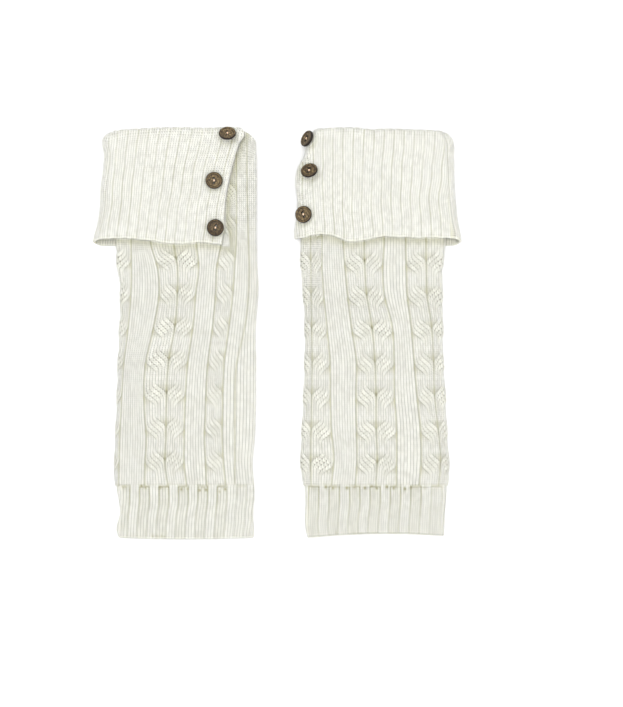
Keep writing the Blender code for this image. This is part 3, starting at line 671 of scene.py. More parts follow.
class Draft:
    """A knitted mesh in the making: its points' attributes, and their places on its map."""

    LAYERS = ("wale", "course", "rise", "shade", "inside")

    def __init__(self) -> None:
        self.work = bmesh.new()
        self.layers = [self.work.verts.layers.float.new(name) for name in self.LAYERS]
        self.facing = self.work.verts.layers.float_vector.new("outward")
        self.map = self.work.loops.layers.uv.new("OFBake")
        self.spots = {}

    def point(
        self, place: np.ndarray, outward: np.ndarray, values: tuple, spot: tuple
    ) -> bmesh.types.BMVert:
        """Adds a point.

        Args:
            place: Where it is, in millimetres.
            outward: Its outward normal.
            values: Its attributes, in the layers' order.
            spot: Its place on the map.

        Returns:
            The point.
        """
        vert = self.work.verts.new(place * MM)
        for layer, value in zip(self.layers, values):
            vert[layer] = value
        vert[self.facing] = outward
        self.spots[vert] = spot
        return vert

    def fill(self, grid: list, ring: bool, step: float) -> None:
        """Adds the faces of a grid, with its map.

        Args:
            grid: Its points, rows by columns.
            ring: Whether the columns run all the way round.
            step: The map's distance from one column to the next.
        """
        columns = len(grid[0])
        for line, below in zip(grid, grid[1:]):
            for c in range(columns - (not ring)):
                d = (c + 1) % columns
                for loop in self.work.faces.new((line[c], below[c], below[d], line[d])).loops:
                    u, v = self.spots[loop.vert]
                    if d == 0 and loop.vert in (line[d], below[d]):
                        u = self.spots[line[c]][0] + step
                    loop[self.map].uv = (u, v)

    def rim(self, line: list, inside: list, places: list, turned: bool) -> None:
        """Closes the cut edge between the outer face and the inner one.

        Args:
            line: The outer face's points along the edge.
            inside: The inner face's.
            places: Which of the outer points each inner one lies under.
            turned: Whether the faces are turned the other way.
        """
        for n, (a, b) in enumerate(zip(places, places[1:])):
            fans = [(inside[n], line[k], line[k + 1]) for k in range(a, b)]
            for points in (*fans, (inside[n], line[b], inside[n + 1])):
                for loop in self.work.faces.new(points[::-1] if turned else points).loops:
                    loop[self.map].uv = self.spots[loop.vert]


@dataclass
class Knit:
    """A grid of knitted skin: rows run down the cloth, and columns across it.

    Attributes:
        name: The piece's name.
        points: The skin at the crests of its stitches, rows by columns, in millimetres.
        outward: Its outward normals.
        wale: Each column's place in wales.
        rise: How much of the stitches' depth each point has.
        shade: How deep each point lies among its neighbours, as painted shade in its colour.
        ring: Whether the columns run all the way round.
        wall: The cloth's thickness, or 0 for a skin with no inside.
        strip: Where its map starts across the whole map, and how wide it is.
    """

    name: str
    points: np.ndarray
    outward: np.ndarray
    wale: np.ndarray
    rise: np.ndarray
    shade: np.ndarray
    ring: bool
    wall: float
    strip: tuple = (0.0, 1.0)

    COARSE = 6  # how many of the outer rows and columns there are to one of the inner face
    INNER_SHADE = 0.3
    MAP_SPLIT = (0.13, 0.14, 0.85)  # the inner face's part of the map, and the outer one's start and part

    def zigzag(self) -> None:
        """Shifts each column down the skin, so that the rows follow the V of the stitches."""
        place = np.abs(((self.wale + 0.5) % 1.0) - 0.5) * 2  # 0 between wales, 1 in their middle
        arm = GAUGE.arm * GAUGE.rows
        rows = len(self.points)
        order = np.arange(rows)
        ends = np.minimum(order, order[::-1])[:, None] / arm
        at = np.clip(order[:, None] + arm * (place - 0.5)[None, :] * np.minimum(ends, 1.0), 0, rows - 1)
        low = np.minimum(at.astype(int), rows - 2)
        part = at - low
        columns = np.arange(len(place))[None, :]
        for name in ("points", "outward", "rise", "shade"):
            grid = getattr(self, name)
            t = part[..., None] if grid.ndim == 3 else part
            setattr(self, name, grid[low, columns] * (1 - t) + grid[low + 1, columns] * t)

    def build(self, tree: StitchTree, finish: bpy.types.Material) -> bpy.types.Object:
        """Makes the piece's object.

        Args:
            tree: The tree that presses its stitches.
            finish: Its material.

        Returns:
            The object, at the origin, with its place in its mesh.
        """
        self.zigzag()
        rows, columns = self.points.shape[:2]
        draft = Draft()
        start, width = self.strip
        _, low, part = self.MAP_SPLIT
        outer = []
        for r in range(rows):
            line = []
            for c in range(columns):
                values = (self.wale[c], r / GAUGE.rows, self.rise[r, c], self.shade[r, c], 0.0)
                spot = (start + width * c / columns, low + part * r / (rows - 1))
                line.append(draft.point(self.points[r, c], self.outward[r, c], values, spot))
            outer.append(line)
        draft.fill(outer, self.ring, width / columns)
        if self.wall:
            self.line_inside(draft, outer)
        mesh = bpy.data.meshes.new(self.name)
        draft.work.to_mesh(mesh)
        draft.work.free()
        mesh.shade_smooth()
        item = bpy.data.objects.new(self.name, mesh)
        bpy.context.scene.collection.objects.link(item)
        return tree.press(item, finish)

    def line_inside(self, draft: Draft, outer: list) -> None:
        """Adds the plain inner face and the cut edges, so that the piece is a closed wall.

        Args:
            draft: The mesh being made.
            outer: The outer points, rows by columns.
        """
        rows, columns = self.points.shape[:2]
        kept_rows = sorted({*range(0, rows, self.COARSE), rows - 1})
        last = columns - (not self.ring)
        kept = sorted({*range(0, last, self.COARSE), *([] if self.ring else [last])})
        plain = self.points - self.outward * self.wall
        inner = []
        for n, r in enumerate(kept_rows):
            line = []
            for m, c in enumerate(kept):
                values = (self.wale[c], r / GAUGE.rows, 0.0, self.INNER_SHADE, 1.0)
                spot = (m / len(kept), self.MAP_SPLIT[0] * n / len(kept_rows))
                line.append(draft.point(plain[r, c], self.outward[r, c], values, spot))
            inner.append(line)
        draft.fill([line[::-1] for line in inner], self.ring, 1 / len(kept))
        for edge, turned in ((0, False), (-1, True)):
            line, inside = outer[edge], inner[edge]
            if self.ring:
                draft.rim(line + line[:1], inside + inside[:1], [*kept, columns], turned)
            else:
                draft.rim(line, inside, kept, turned)
                sides = ([row[edge] for row in grid] for grid in (outer, inner))
                draft.rim(*sides, kept_rows, not turned)


@dataclass(frozen=True)
class Tube:
    """The outside of a tube of cloth that lies flat, at the crests of its stitches.

    Attributes:
        side: Which warmer it belongs to.
        levels: The table of its sides.
        lift: How high it lies where the cuff's back layer is under it.
    """

    side: Side
    levels: tuple
    lift: float

    RADIUS = TUBE_HEIGHT / 2
    QUARTER = TUBE_HEIGHT / 4 * math.pi
    WAVE = 0.35  # how high the cloth's waves are

    def sides(self, down: np.ndarray) -> tuple:
        """The x of the tube's left and right sides at places along it."""
        return read(self.levels, "left", down), read(self.levels, "right", down)

    def round(self, down: np.ndarray) -> np.ndarray:
        """How far it is over the top, from one side to the other, at places along it."""
        left, right = self.sides(down)
        return right - left - 2 * self.RADIUS + 2 * self.QUARTER

    def over(self, x: np.ndarray, down: np.ndarray) -> np.ndarray:
        """Turns a place seen from above into one round the tube.

        Args:
            x: Places across, as seen from above.
            down: Places along.

        Returns:
            The same places as s.
        """
        left, right = self.sides(down)
        near = np.clip(np.minimum(x - left, right - x), 0.0, None)
        bent = self.RADIUS * np.arccos(np.clip(1 - near / self.RADIUS, 0.0, 1.0))
        s = np.where(near < self.RADIUS, bent, near - self.RADIUS + self.QUARTER)
        return np.where(x - left < right - x, s, self.round(down) - s)

    def skin(self, s: np.ndarray, down: np.ndarray, relief: np.ndarray) -> tuple:
        """Points on the tube.

        Args:
            s: Places round it.
            down: Places along it.
            relief: How far each point stands off the plain tube.

        Returns:
            The points, in the row frame, and their outward normals.
        """
        left, right = self.sides(down)
        whole = self.round(down)
        from_left = s < whole / 2
        near = np.where(from_left, s, whole - s)
        turn = np.clip(near / self.RADIUS, -math.pi / 2, math.pi / 2)
        inset = self.RADIUS * (1 - np.cos(turn)) + np.maximum(np.abs(near) - self.QUARTER, 0.0)
        x = np.where(from_left, left + inset, right - inset)
        place = (2 * x - left - right) / (right - left)
        low = self.lift * (1 - smooth_step((down - LIFT_ENDS[0]) / (LIFT_ENDS[1] - LIFT_ENDS[0])))
        on_top = np.clip(turn / (math.pi / 2), 0.0, 1.0)
        high = TUBE_CROWN * (1 - place**2) * on_top
        high = high + self.WAVE * ripple(x, down, 1.0 + MIDDLE_X[self.side]) * on_top**2
        nx = -np.cos(turn) * np.where(from_left, 1.0, -1.0)
        nz = np.sin(turn)
        z = np.maximum(low + self.RADIUS * (1 + nz) + high + nz * relief, LOWEST)
        points = np.stack([MIDDLE_X[self.side] + x + nx * relief, TOP_Y - down, z], axis=-1)
        return points, np.stack([nx, np.zeros_like(nx), nz], axis=-1)


class Column(NamedTuple):
    """One column of stitches in a band, in a rib or on an underside."""

    share: float  # its place, as a share of the band's width
    wale: float  # its place in wales
    relief: float  # how far it stands off the plain cloth
    rise: float  # how much of the stitches' depth it has
    shade: float  # how deep it lies, as painted shade in its colour


def stitched_band(width: float, first_wale: int, height: float, groove: float, shade: float = 0.0) -> list:
    """The columns of a band of plain knitting between two purl grooves.

    Args:
        width: The band's usual width.
        first_wale: The number of its first wale.
        height: How far it stands off the plain cloth.
        groove: The width of the groove that it has at each side.
        shade: How deep the whole band lies, for its colour.

    Returns:
        Its columns, from its left groove up to the next band.
    """
    wales = max(1, round((width - 2 * groove) / GAUGE.wale))
    band = [Column(0.0, first_wale, -0.5, 0.0, GROOVE_SHADE)]
    margin = groove / width
    for k in range(4 * wales + 1):
        near = min(k, 4 * wales - k) / 4
        rounded = 1 - 0.45 * max(0.0, 1 - near) ** 2
        place = margin + (1 - 2 * margin) * (k / (4 * wales))
        band.append(Column(place, first_wale + k / 4, height * rounded, 1.0, shade))
    return band


def underside(whole: np.ndarray, first_wale: int, relief: float, start: float) -> list:
    """The columns of a tube's underside, two to a wale.

    Args:
        whole: How far it is over the top at each row.
        first_wale: The number of the first wale.
        relief: How far they stand off the plain cloth.
        start: How far on the first of them is, in columns.

    Returns:
        The columns.
    """
    count = 2 * round(float(whole.mean()) / GAUGE.wale)
    return [Column((k + start) / count, first_wale + k / 2, relief, BACK_RISE, 0.0) for k in range(count)]


class Leg:
    """The cable-knit tube of one warmer, with its crossing strands."""

    PLAIN_HEIGHT = 0.9
    CABLE_HEIGHT = 2.0
    GROOVE = 0.75
    COVERED = (100.0, 112.0)  # down, where the cuff stops pressing on the leg
    SIDE_WRAP = 3.6  # how far a cable at the side runs on underneath
    UNDERLAY = -0.8  # how deep the cloth lies under the strands and in the purl grooves
    SEAM_WIDTH = 0.8
    DOME = 0.1  # the share of a half's width that its rounded edges take
    OVER_START = -3.5  # from a crossing's middle to where the over strand starts to move inwards
    OVER_DELAY = 13.0  # how much later its outer side moves than its inner side
    OVER_LENGTH = 12.5
    OVER_LIFT = 1.05
    UNDER_START = -3.0  # the same for the strand that goes outwards, under its neighbour
    UNDER_DELAY = 8.0
    UNDER_LENGTH = 12.0
    UNDER_SINK = 1.1
    ROW_TILT = 9.0
    TILT_SPAN = (-13.0, 20.0)
    STRAND_WALES = 4
    FOOT, LIFT_FOOT = 0.1, 0.35  # the share of its height and lift that a strand's sides have
    SIDE_SHADE, SUNK_SHADE = 0.5, 0.45  # the shades of its sides, and of where it is pressed under
    DRAWN_SHADE = 0.14  # how much painted shade there is where a strand is drawn across
    MOST_SHADE = 1.2
    LANES = (0.25, 0.75)  # where a strand's middle runs, outside and inside
    RIDE = (0.8, 2.9)  # how early the over strand is lifted, and for how long, in moves
    ARCH = (1.15, 0.85, 2.5)  # its lift in the middle, what its sides lack, and how round it is
    UNDER_SPAN, UNDER_EASE = (-10.0, 15.0), 8.0  # where the other one is pressed under
    END_FALL = 0.4  # how much of a cable's height is lost over the last courses
    END_LENGTH = 9.0
    END_SHADE, END_SHADE_LENGTH = 0.45, 3.0
    CAST = 0.8  # how deep the shade beside the cuff's hem and free edge is
    CAST_REACH, CAST_START = 6.5, 2.5
    MEASURED = 240.0  # down, where its flat width is taken
    PRESSED = 0.3  # the share of its relief that the leg keeps under the cuff
    SLIT_WIDTH = 4.0  # how soon the rest comes up beside the cuff's free edge
    SLANT = (9.0, 5.0)  # how far before the slant the top edge starts to turn, and how soon it has
    SEAM_DEPTH, SEAM_SHADE = 0.9, 0.8
    SETTLED = 30.0  # how far down the courses still follow the top edge
    SINK_EARLY, SINK_LENGTH, SINK = 0.8, 2.3, 1.2  # how the last course sinks into the ankle
    UNDER_COLUMNS = (0.0, 0.16, 0.5, 0.84)  # where the cloth under a cable has its columns
    SLIT_BAND, SLIT_START = 4, 14.0  # the bands past this one show at the slit, from this down
    SKIRT_OUT, SKIRT_DROP = 0.02, 0.9  # how a strand's sides are tucked into the cloth

    def __init__(self, side: Side) -> None:
        self.side = side
        self.tube = Tube(side, LEVELS[side], LIFT)
        self.names = [name for name in LEVELS[side][0]._fields[1:] if name != "seam"]

    def top(self, x: np.ndarray) -> np.ndarray:
        """The leg's top edge, inside the fold.

        Args:
            x: Places across.

        Returns:
            Its down at each place.
        """
        edge = SEAM_DOWN + SEAM_GAP / 2 + read(SEAM[self.side], "down", x, along="x")
        if self.side is Side.LEFT:
            slant = SLANT_RISE + read(FOLD[self.side], "down", x, along="x")
            edge = edge + (slant - edge) * smooth_step((x - SLANT_FROM + self.SLANT[0]) / self.SLANT[1])
        return edge

    def shown(self, x: np.ndarray, down: np.ndarray) -> np.ndarray:
        """How far the leg's relief has come up: it is pressed flat under the cuff.

        Args:
            x: Places across.
            down: Places along.

        Returns:
            The share of its relief.
        """
        below = smooth_step((down - self.COVERED[0]) / (self.COVERED[1] - self.COVERED[0]))
        if self.side is Side.LEFT:
            free = read(CUFFS[self.side], "free", down)
            below = np.maximum(below, smooth_step((x - free) / self.SLIT_WIDTH))
        return rising(self.PRESSED, below)

    def cast(self, x: np.ndarray, down: np.ndarray) -> np.ndarray:
        """The yellowish shade beside the cuff's hem and its free edge.

        Args:
            x: Places across.
            down: Places along.

        Returns:
            How deep it is.
        """
        below = np.maximum(down - read(HEM[self.side], "down", x, along="x"), 0.0)
        free = read(CUFFS[self.side], "free", down)
        beside = np.maximum(x - free if self.side is Side.LEFT else free - x, 0.0)
        far = np.hypot(below, beside)
        return self.CAST * smooth_step(far / self.CAST_START) * np.exp(-((far / self.CAST_REACH) ** 2))

    def gaps(self, x: np.ndarray, down: np.ndarray) -> np.ndarray:
        """How open the cloth is at the crossings and where the ribs start, for the painted shade in its
        gaps.

        Args:
            x: Places across.
            down: Places along.

        Returns:
            The share, from 0 to 1.
        """
        opened = spotted(GAPS[self.side], x, down)
        for number, notch in enumerate(NOTCHES):
            across = (x - read(LEVELS[self.side], notch.column, down)) / notch.width
            for n, (middle, _) in enumerate(self.crossings(0)):
                along = (down - middle - notch.below) / notch.length
                share = notch.strength * NOTCH_SHARES[(n + 2 * number) % len(NOTCH_SHARES)]
                opened = np.maximum(opened, share * np.exp(-(across**2) - along**2))
        return opened

    def edges(self, band: int, down: np.ndarray) -> tuple:
        """The two sides of a band, round the tube, as s."""
        names = self.names[band : band + 2]
        return tuple(self.tube.over(read(LEVELS[self.side], name, down), down) for name in names)

    def base(self) -> Knit:
        """The tube itself, with its plain bands; the cables' strands lie on it.

        Returns:
            Its grid.
        """
        start = SEAM_DOWN + SEAM_GAP / 2
        if self.side is Side.LEFT:
            first = np.arange(start, self.COVERED[0], GAUGE.fine)
        else:
            first = np.linspace(start, self.COVERED[0], 12)[:-1]
        rest = np.arange(self.COVERED[0], ANKLE_DOWN + OVERLAP, GAUGE.fine)
        down = np.concatenate([first, rest])[:, None]
        places, columns = [], []
        first_wale = 0
        levels = LEVELS[self.side]
        middle = levels[len(levels) // 2]
        for number, kind in enumerate(BANDS[self.side]):
            width = getattr(middle, self.names[number + 1]) - getattr(middle, self.names[number])
            if kind is Band.PLAIN:
                band = stitched_band(width, first_wale, self.PLAIN_HEIGHT, self.GROOVE)
                first_wale = int(band[-1].wale) + 1
            else:
                shape = (first_wale, self.UNDERLAY, 0.0, GROOVE_SHADE)
                band = [Column(share, *shape) for share in self.UNDER_COLUMNS]
            low, high = self.edges(number, down)
            places.append(low + np.array([column.share for column in band]) * (high - low))
            columns += band
        whole = self.tube.round(down)
        back = underside(whole, first_wale, 0.0, 0.0)
        under = whole * (1 + np.array([column.share for column in back]))
        s = np.concatenate([*places, np.where(under > 1.5 * whole, under - 2 * whole, under)], axis=1)
        _, wale, relief, rise, shade = np.array(columns + back).T
        x = np.clip(s - self.tube.QUARTER, 0, None) + self.tube.sides(down)[0] + self.tube.RADIUS
        settle = 1 - smooth_step((down - down[0]) / self.SETTLED)
        downs = down + (self.top(x) - down[0]) * settle
        on_top = (s > 0) * (s < whole)
        above, below = (troughs(kind[self.side], x, downs) for kind in (LEG_CREASES, BACK_CREASES))
        height = (relief - np.where(on_top, above, below)) * self.shown(x, downs)
        height = self.eased(height, x, downs)
        shades = shade + on_top * self.cast(x, downs)
        shades = shades + self.end_shade(downs)
        if self.side is Side.LEFT:
            near = np.exp(-(((x - read(LEVELS[self.side], "seam", downs)) / self.SEAM_WIDTH) ** 2))
            near = near * on_top
            height = height - self.SEAM_DEPTH * near
            shades = np.maximum(shades, self.SEAM_SHADE * near)
        shades = np.maximum(shades, HOLE_SHADE * self.gaps(x, downs) * on_top)
        points, outward = self.tube.skin(s, downs, height)
        rise = np.broadcast_to(rise, s.shape)
        return Knit(f"{self.side.value}_leg_knit", points, outward, wale, rise, shades, True, LEG_WALL)

    def eased(self, height: np.ndarray, x: np.ndarray, down: np.ndarray) -> np.ndarray:
        """Sinks the leg's end into the ankle's first courses.

        Args:
            height: How far the points stand off the plain cloth.
            x: Their places across.
            down: Their places along.

        Returns:
            The same heights, eased down at the end.
        """
        fall = 1 - self.END_FALL * smooth_step(1 + (down - ANKLE_DOWN) / self.END_LENGTH)
        height = np.where(height > self.PLAIN_HEIGHT, np.maximum(height * fall, self.PLAIN_HEIGHT), height)
        end = smooth_step((down - uneven_start(x) + self.SINK_EARLY) / self.SINK_LENGTH)
        return height * (1 - end) - self.SINK * end

    def end_shade(self, down: np.ndarray) -> np.ndarray:
        """How much deeper the shade of the leg's last courses is."""
        return self.END_SHADE * smooth_step(1 + (down - ANKLE_DOWN) / self.END_SHADE_LENGTH)

    def strand(self, number: int, phase: int) -> Knit:
        """One strand of half a cable, which crosses over and under its neighbour in turn.

        Args:
            number: The band that it runs in.
            phase: 0 for the strand that is outside before the first crossing, 1 for the other.

        Returns:
            Its grid.
        """
        kind = BANDS[self.side][number]
        at_slit = self.side is Side.LEFT and number > self.SLIT_BAND
        start = self.SLIT_START if at_slit else self.COVERED[0] - 6
        along = np.arange(start, ANKLE_DOWN + OVERLAP, GAUGE.fine)[:, None]
        wales = self.STRAND_WALES
        across = np.concatenate([[0.0], np.arange(4 * wales + 1) / (4 * wales), [1.0]])[None, :] - 0.5
        skirt = np.zeros(across.shape)
        skirt[0, [0, -1]] = 1.0
        down = along - self.ROW_TILT * across * self.tilting(along, phase)
        centre, lift, sunk, drawn = self.path(down, across, phase)
        place = centre + 0.5 * across
        edge = np.clip(np.minimum(place, 1 - place), 0.0, 1.0)
        place = place + self.SKIRT_OUT * np.sign(across) * skirt
        low, high = self.edges(number, down)
        if number == 0:
            low = low - self.SIDE_WRAP
        if number == len(BANDS[self.side]) - 1:
            high = high + self.SIDE_WRAP
        s = low + (place if kind is Band.OUT_LEFT else 1 - place) * (high - low)
        dome = smooth_step(edge / self.DOME)
        height = self.CABLE_HEIGHT * rising(self.FOOT, dome) + lift * rising(self.LIFT_FOOT, dome)
        x = s - self.tube.QUARTER + self.tube.sides(down)[0] + self.tube.RADIUS
        height = (height - troughs(LEG_CREASES[self.side], x, down)) * self.shown(x, down)
        height = self.eased(height, x, down)
        height = np.where(skirt > 0, np.minimum(height, 0.0) - self.SKIRT_DROP, height)
        points, outward = self.tube.skin(s, down, height)
        shade = self.SIDE_SHADE * (1 - dome) + self.SUNK_SHADE * sunk + self.DRAWN_SHADE * drawn
        shade = shade + skirt + self.cast(x, down) + self.end_shade(down)
        shade = np.maximum(np.clip(shade, 0, self.MOST_SHADE), HOLE_SHADE * self.gaps(x, down))
        wale = np.concatenate([[0.0], np.arange(4 * wales + 1) / 4, [float(wales)]])
        if kind is Band.OUT_RIGHT:
            points, outward, shade = points[:, ::-1], outward[:, ::-1], shade[:, ::-1]
        name = f"{self.side.value}_strand_{number}_{phase}"
        rise = np.broadcast_to(1 - skirt, s.shape)
        return Knit(name, points, outward, wale, rise, shade, False, 0.0)

    def crossings(self, phase: int) -> list:
        """Each crossing's middle, and whether a strand goes inwards, over its neighbour, at it."""
        first = FIRST_CROSSING[self.side]
        return [(first + n * CABLE_PITCH, (n + phase) % 2 == 1) for n in range(-3, CROSSINGS)]

    def tilting(self, along: np.ndarray, phase: int) -> np.ndarray:
        """How far a strand's courses are tilted, where it sweeps inwards over its neighbour.

        Args:
            along: Places down the leg.
            phase: Which of the two strands.

        Returns:
            The share of the full tilt.
        """
        low, high = self.TILT_SPAN
        tilt = np.zeros(along.shape)
        for middle, over in self.crossings(phase):
            if over:
                part = np.clip((along - middle - low) / (high - low), 0.0, 1.0)
                tilt = tilt + np.sin(math.pi * part) ** 2
        return tilt

    def path(self, down: np.ndarray, across: np.ndarray, phase: int) -> tuple:
        """Where a strand runs in half a cable.

        Args:
            down: Places down the leg.
            across: Places across the strand, from its outer side at -0.5 to its inner side at 0.5.
            phase: Which of the two strands.

        Returns:
            Its middle's place from the outer side as a share of the half, how far it is lifted over
            or pressed under its neighbour, and how deep it is sunk and how far it is drawn across,
            as shares.
        """
        outside, inside = self.LANES
        centre = np.full(down.shape, inside if phase else outside)
        lift, sunk, drawn = (np.zeros(down.shape) for _ in range(3))
        for middle, over in self.crossings(phase):
            past = down - middle
            if over:
                t = (past - self.OVER_START + self.OVER_DELAY * across) / self.OVER_LENGTH
                centre = np.where(t > 0, outside + (inside - outside) * smooth_step(t), centre)
                ride = np.sin(math.pi * np.clip((t + self.RIDE[0]) / self.RIDE[1], 0.0, 1.0)) ** 2
                arch = self.ARCH[0] - self.ARCH[1] * np.abs(2 * across) ** self.ARCH[2]
                lift = lift + self.OVER_LIFT * ride * arch
                drawn = drawn + ride
            else:
                t = (past - self.UNDER_START - self.UNDER_DELAY * across) / self.UNDER_LENGTH
                centre = np.where(t > 0, inside - (inside - outside) * smooth_step(t), centre)
                low, high = self.UNDER_SPAN
                here = smooth_step((past - low) / self.UNDER_EASE)
                here = here * smooth_step((high - past) / self.UNDER_EASE)
                lift = lift - self.UNDER_SINK * here
                sunk = sunk + here
        return centre, lift, sunk, drawn

    def build(self, tree: StitchTree, finish: bpy.types.Material) -> bpy.types.Object:
        """Makes the leg.

        Args:
            tree: The tree that presses stitches.
            finish: The yarn.

        Returns:
            The tube, with its strands as a second piece that goes with it.
        """
        knit = self.base()
        tube = knit.build(tree, finish)
        halves = [number for number, kind in enumerate(BANDS[self.side]) if kind is not Band.PLAIN]
        knits = [self.strand(number, phase) for number in halves for phase in (0, 1)]
        strands = []
        for place, strand in enumerate(knits):
            strand.strip = (place / len(knits), 0.96 / len(knits))
            strands.append(strand.build(tree, finish))
        cables = join(f"{self.side.value}_cable_strands", strands)
        dress(tube, f"{self.side.value}_leg")
        dress(cables)
        left, right = self.tube.sides(np.array([self.MEASURED]))
        return tube


def join(name: str, parts: list) -> bpy.types.Object:
    """Joins meshes into one object.

    Args:
        name: Its name.
        parts: The objects to join; they all end up in the first.

    Returns:
        The joined object.
    """
    with bpy.context.temp_override(
        active_object=parts[0], object=parts[0], selected_objects=parts, selected_editable_objects=parts
    ):
        bpy.ops.object.join()
    parts[0].name = name
    parts[0].data.name = name
    return parts[0]


def dress(piece: bpy.types.Object, solid: str | None = None) -> None:
    """Lets the pair carry a piece, and hides the solid that it stands for.

    Args:
        piece: The piece.
        solid: The solid's name, or None where it only adds to another piece.
    """
    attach(piece, BODY)
    if solid:
        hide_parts(solid)


class Ankle:
    """The ribbed band at one warmer's ankle, with its hem."""

    KNIT_HEIGHT, PURL_HEIGHT = 1.7, 0.55
    PURL_SHADE = 0.12
    BACK_RELIEF = 0.4
    MARGIN = 0.3  # how far its ribs stay from the tube's sides
    SWAY = (0.5, 3.2)  # how far the ribs sway, and how soon
    BEGIN = 6.0  # how far down the ribs are fully raised
    BEGIN_RELIEF, BEGIN_SINK, BEGIN_SHADE = 0.4, 1.1, 0.8
    FAINTNESS = 0.7
    CURL_LOSS, CURL_SHADE = 0.6, 0.35
    LUMPS = (0.7, 0.3, 1.9, 5.3)  # the curl's height, how much it changes, and over what lengths
    LINE_SHADE = (0.35, 0.95)  # of the lines between the ribs, all the way down and more at their top
    TOP_SHADE, TOP_LENGTH = 0.3, 3.0  # of the purl ribs' first courses
    GROOVE = 0.7
    RIBS = range(-1, 13)
    FADE = 26.0  # how far down the painted shade of the lines between the ribs fades
    CURL = 0.55  # how far the cast-on edge curls up
    CURL_LENGTH = 3.2
    FAINT = {Side.LEFT: (30.0, 44.0), Side.RIGHT: (52.0, 62.0)}  # x, past which the painted shade of the ribs is fainter

    def __init__(self, side: Side) -> None:
        self.side = side
        self.tube = Tube(side, ANKLES[side], 0.0)

    def build(self, tree: StitchTree, finish: bpy.types.Material) -> bpy.types.Object:
        """Makes the band.

        Args:
            tree: The tree that presses stitches.
            finish: The yarn.

        Returns:
            Its object.
        """
        levels, hem = ANKLES[self.side], ANKLE_HEM[self.side]
        start = ANKLE_DOWN - OVERLAP
        rows = round((hem.down - start) / GAUGE.fine)
        part = np.linspace(0.0, 1.0, rows + 1)[:, None]
        level = start + part * (hem.down - start)
        left, right = self.tube.sides(level)
        first, pitch = (read(levels, name, level) for name in ("rib_start", "rib_pitch"))
        x, columns = [], []
        number = 0
        for rib in self.RIBS:
            height, deep = (self.KNIT_HEIGHT, 0.0) if rib % 2 == 0 else (self.PURL_HEIGHT, self.PURL_SHADE)
            band = stitched_band(levels[1].rib_pitch, number, height, self.GROOVE, deep)
            number = int(band[-1].wale) + 1
            x.append(first + pitch * (rib + np.array([column.share for column in band])))
            columns += band
        x = np.concatenate(x, axis=1)
        x = x + self.SWAY[0] * smooth_step(part * 3) * ripple(x, self.SWAY[1] * level, 5.0)
        inside = (x > left + self.MARGIN).all(axis=0) & (x < right - self.MARGIN).all(axis=0)
        x = x[:, inside]
        s = self.tube.over(x, level)
        whole = self.tube.round(level)
        back = underside(whole, number, self.BACK_RELIEF, 0.5)
        places = np.array([column.share for column in back])
        under = s[:, -1:] + (2 * whole - (s[:, -1:] - s[:, :1])) * places
        s = np.concatenate([s, np.where(under > 1.5 * whole, under - 2 * whole, under)], axis=1)
        _, wale, relief, rise, shade = np.concatenate([np.array(columns)[inside], back]).T
        above = np.concatenate([x, np.full(under.shape, 2 * right.max())], axis=1)
        place = np.minimum(np.abs(s), 2 * whole - s) / whole * 2 - 1
        down = level + hem.bow * (place - hem.middle) ** 2 * smooth_step(part)
        curled = np.clip(1 - (1 - part) * (hem.down - start) / self.CURL_LENGTH, 0.0, 1.0)
        begun = smooth_step((down - start) / self.BEGIN)
        sunk = (relief < self.KNIT_HEIGHT * 0.5) * (1 - begun)
        low, high = self.FAINT[self.side]
        strength = 1 - self.FAINTNESS * smooth_step((above - low) / (high - low))
        height = relief * (1 - self.CURL_LOSS * curled) * rising(self.BEGIN_RELIEF, begun)
        height = height - self.BEGIN_SINK * sunk
        usual, change, short, long = self.LUMPS
        lumps = usual + change * np.sin(above / short) * np.sin(above / long + 2.0)
        height = height + self.CURL * np.sin(math.pi * curled) * lumps
        height = height - troughs(ANKLE_CREASES[self.side], above, down)
        even, more = self.LINE_SHADE
        line = (rise == 0.0) * (even + more * np.exp(-(((down - start) / self.FADE) ** 2)))
        top = np.exp(-(((down - start - self.TOP_LENGTH) / self.TOP_LENGTH) ** 2))
        top = top * (relief == self.PURL_HEIGHT)
        shades = (shade * (rise > 0.0) + GROOVE_SHADE * line + self.TOP_SHADE * top) * strength
        shades = shades + self.BEGIN_SHADE * sunk**2 * strength + self.CURL_SHADE * curled * (1 - curled)
        shades = np.maximum(shades, HOLE_SHADE * spotted(GAPS[self.side], above, down))
        shades = np.clip(shades, 0.0, HOLE_SHADE)
        points, outward = self.tube.skin(s, down, height)
        rise = np.broadcast_to(rise, s.shape)
        knit = Knit(f"{self.side.value}_ankle_knit", points, outward, wale, rise, shades, True, LEG_WALL)
        item = knit.build(tree, finish)
        dress(item, f"{self.side.value}_ankle_rib")
        return item


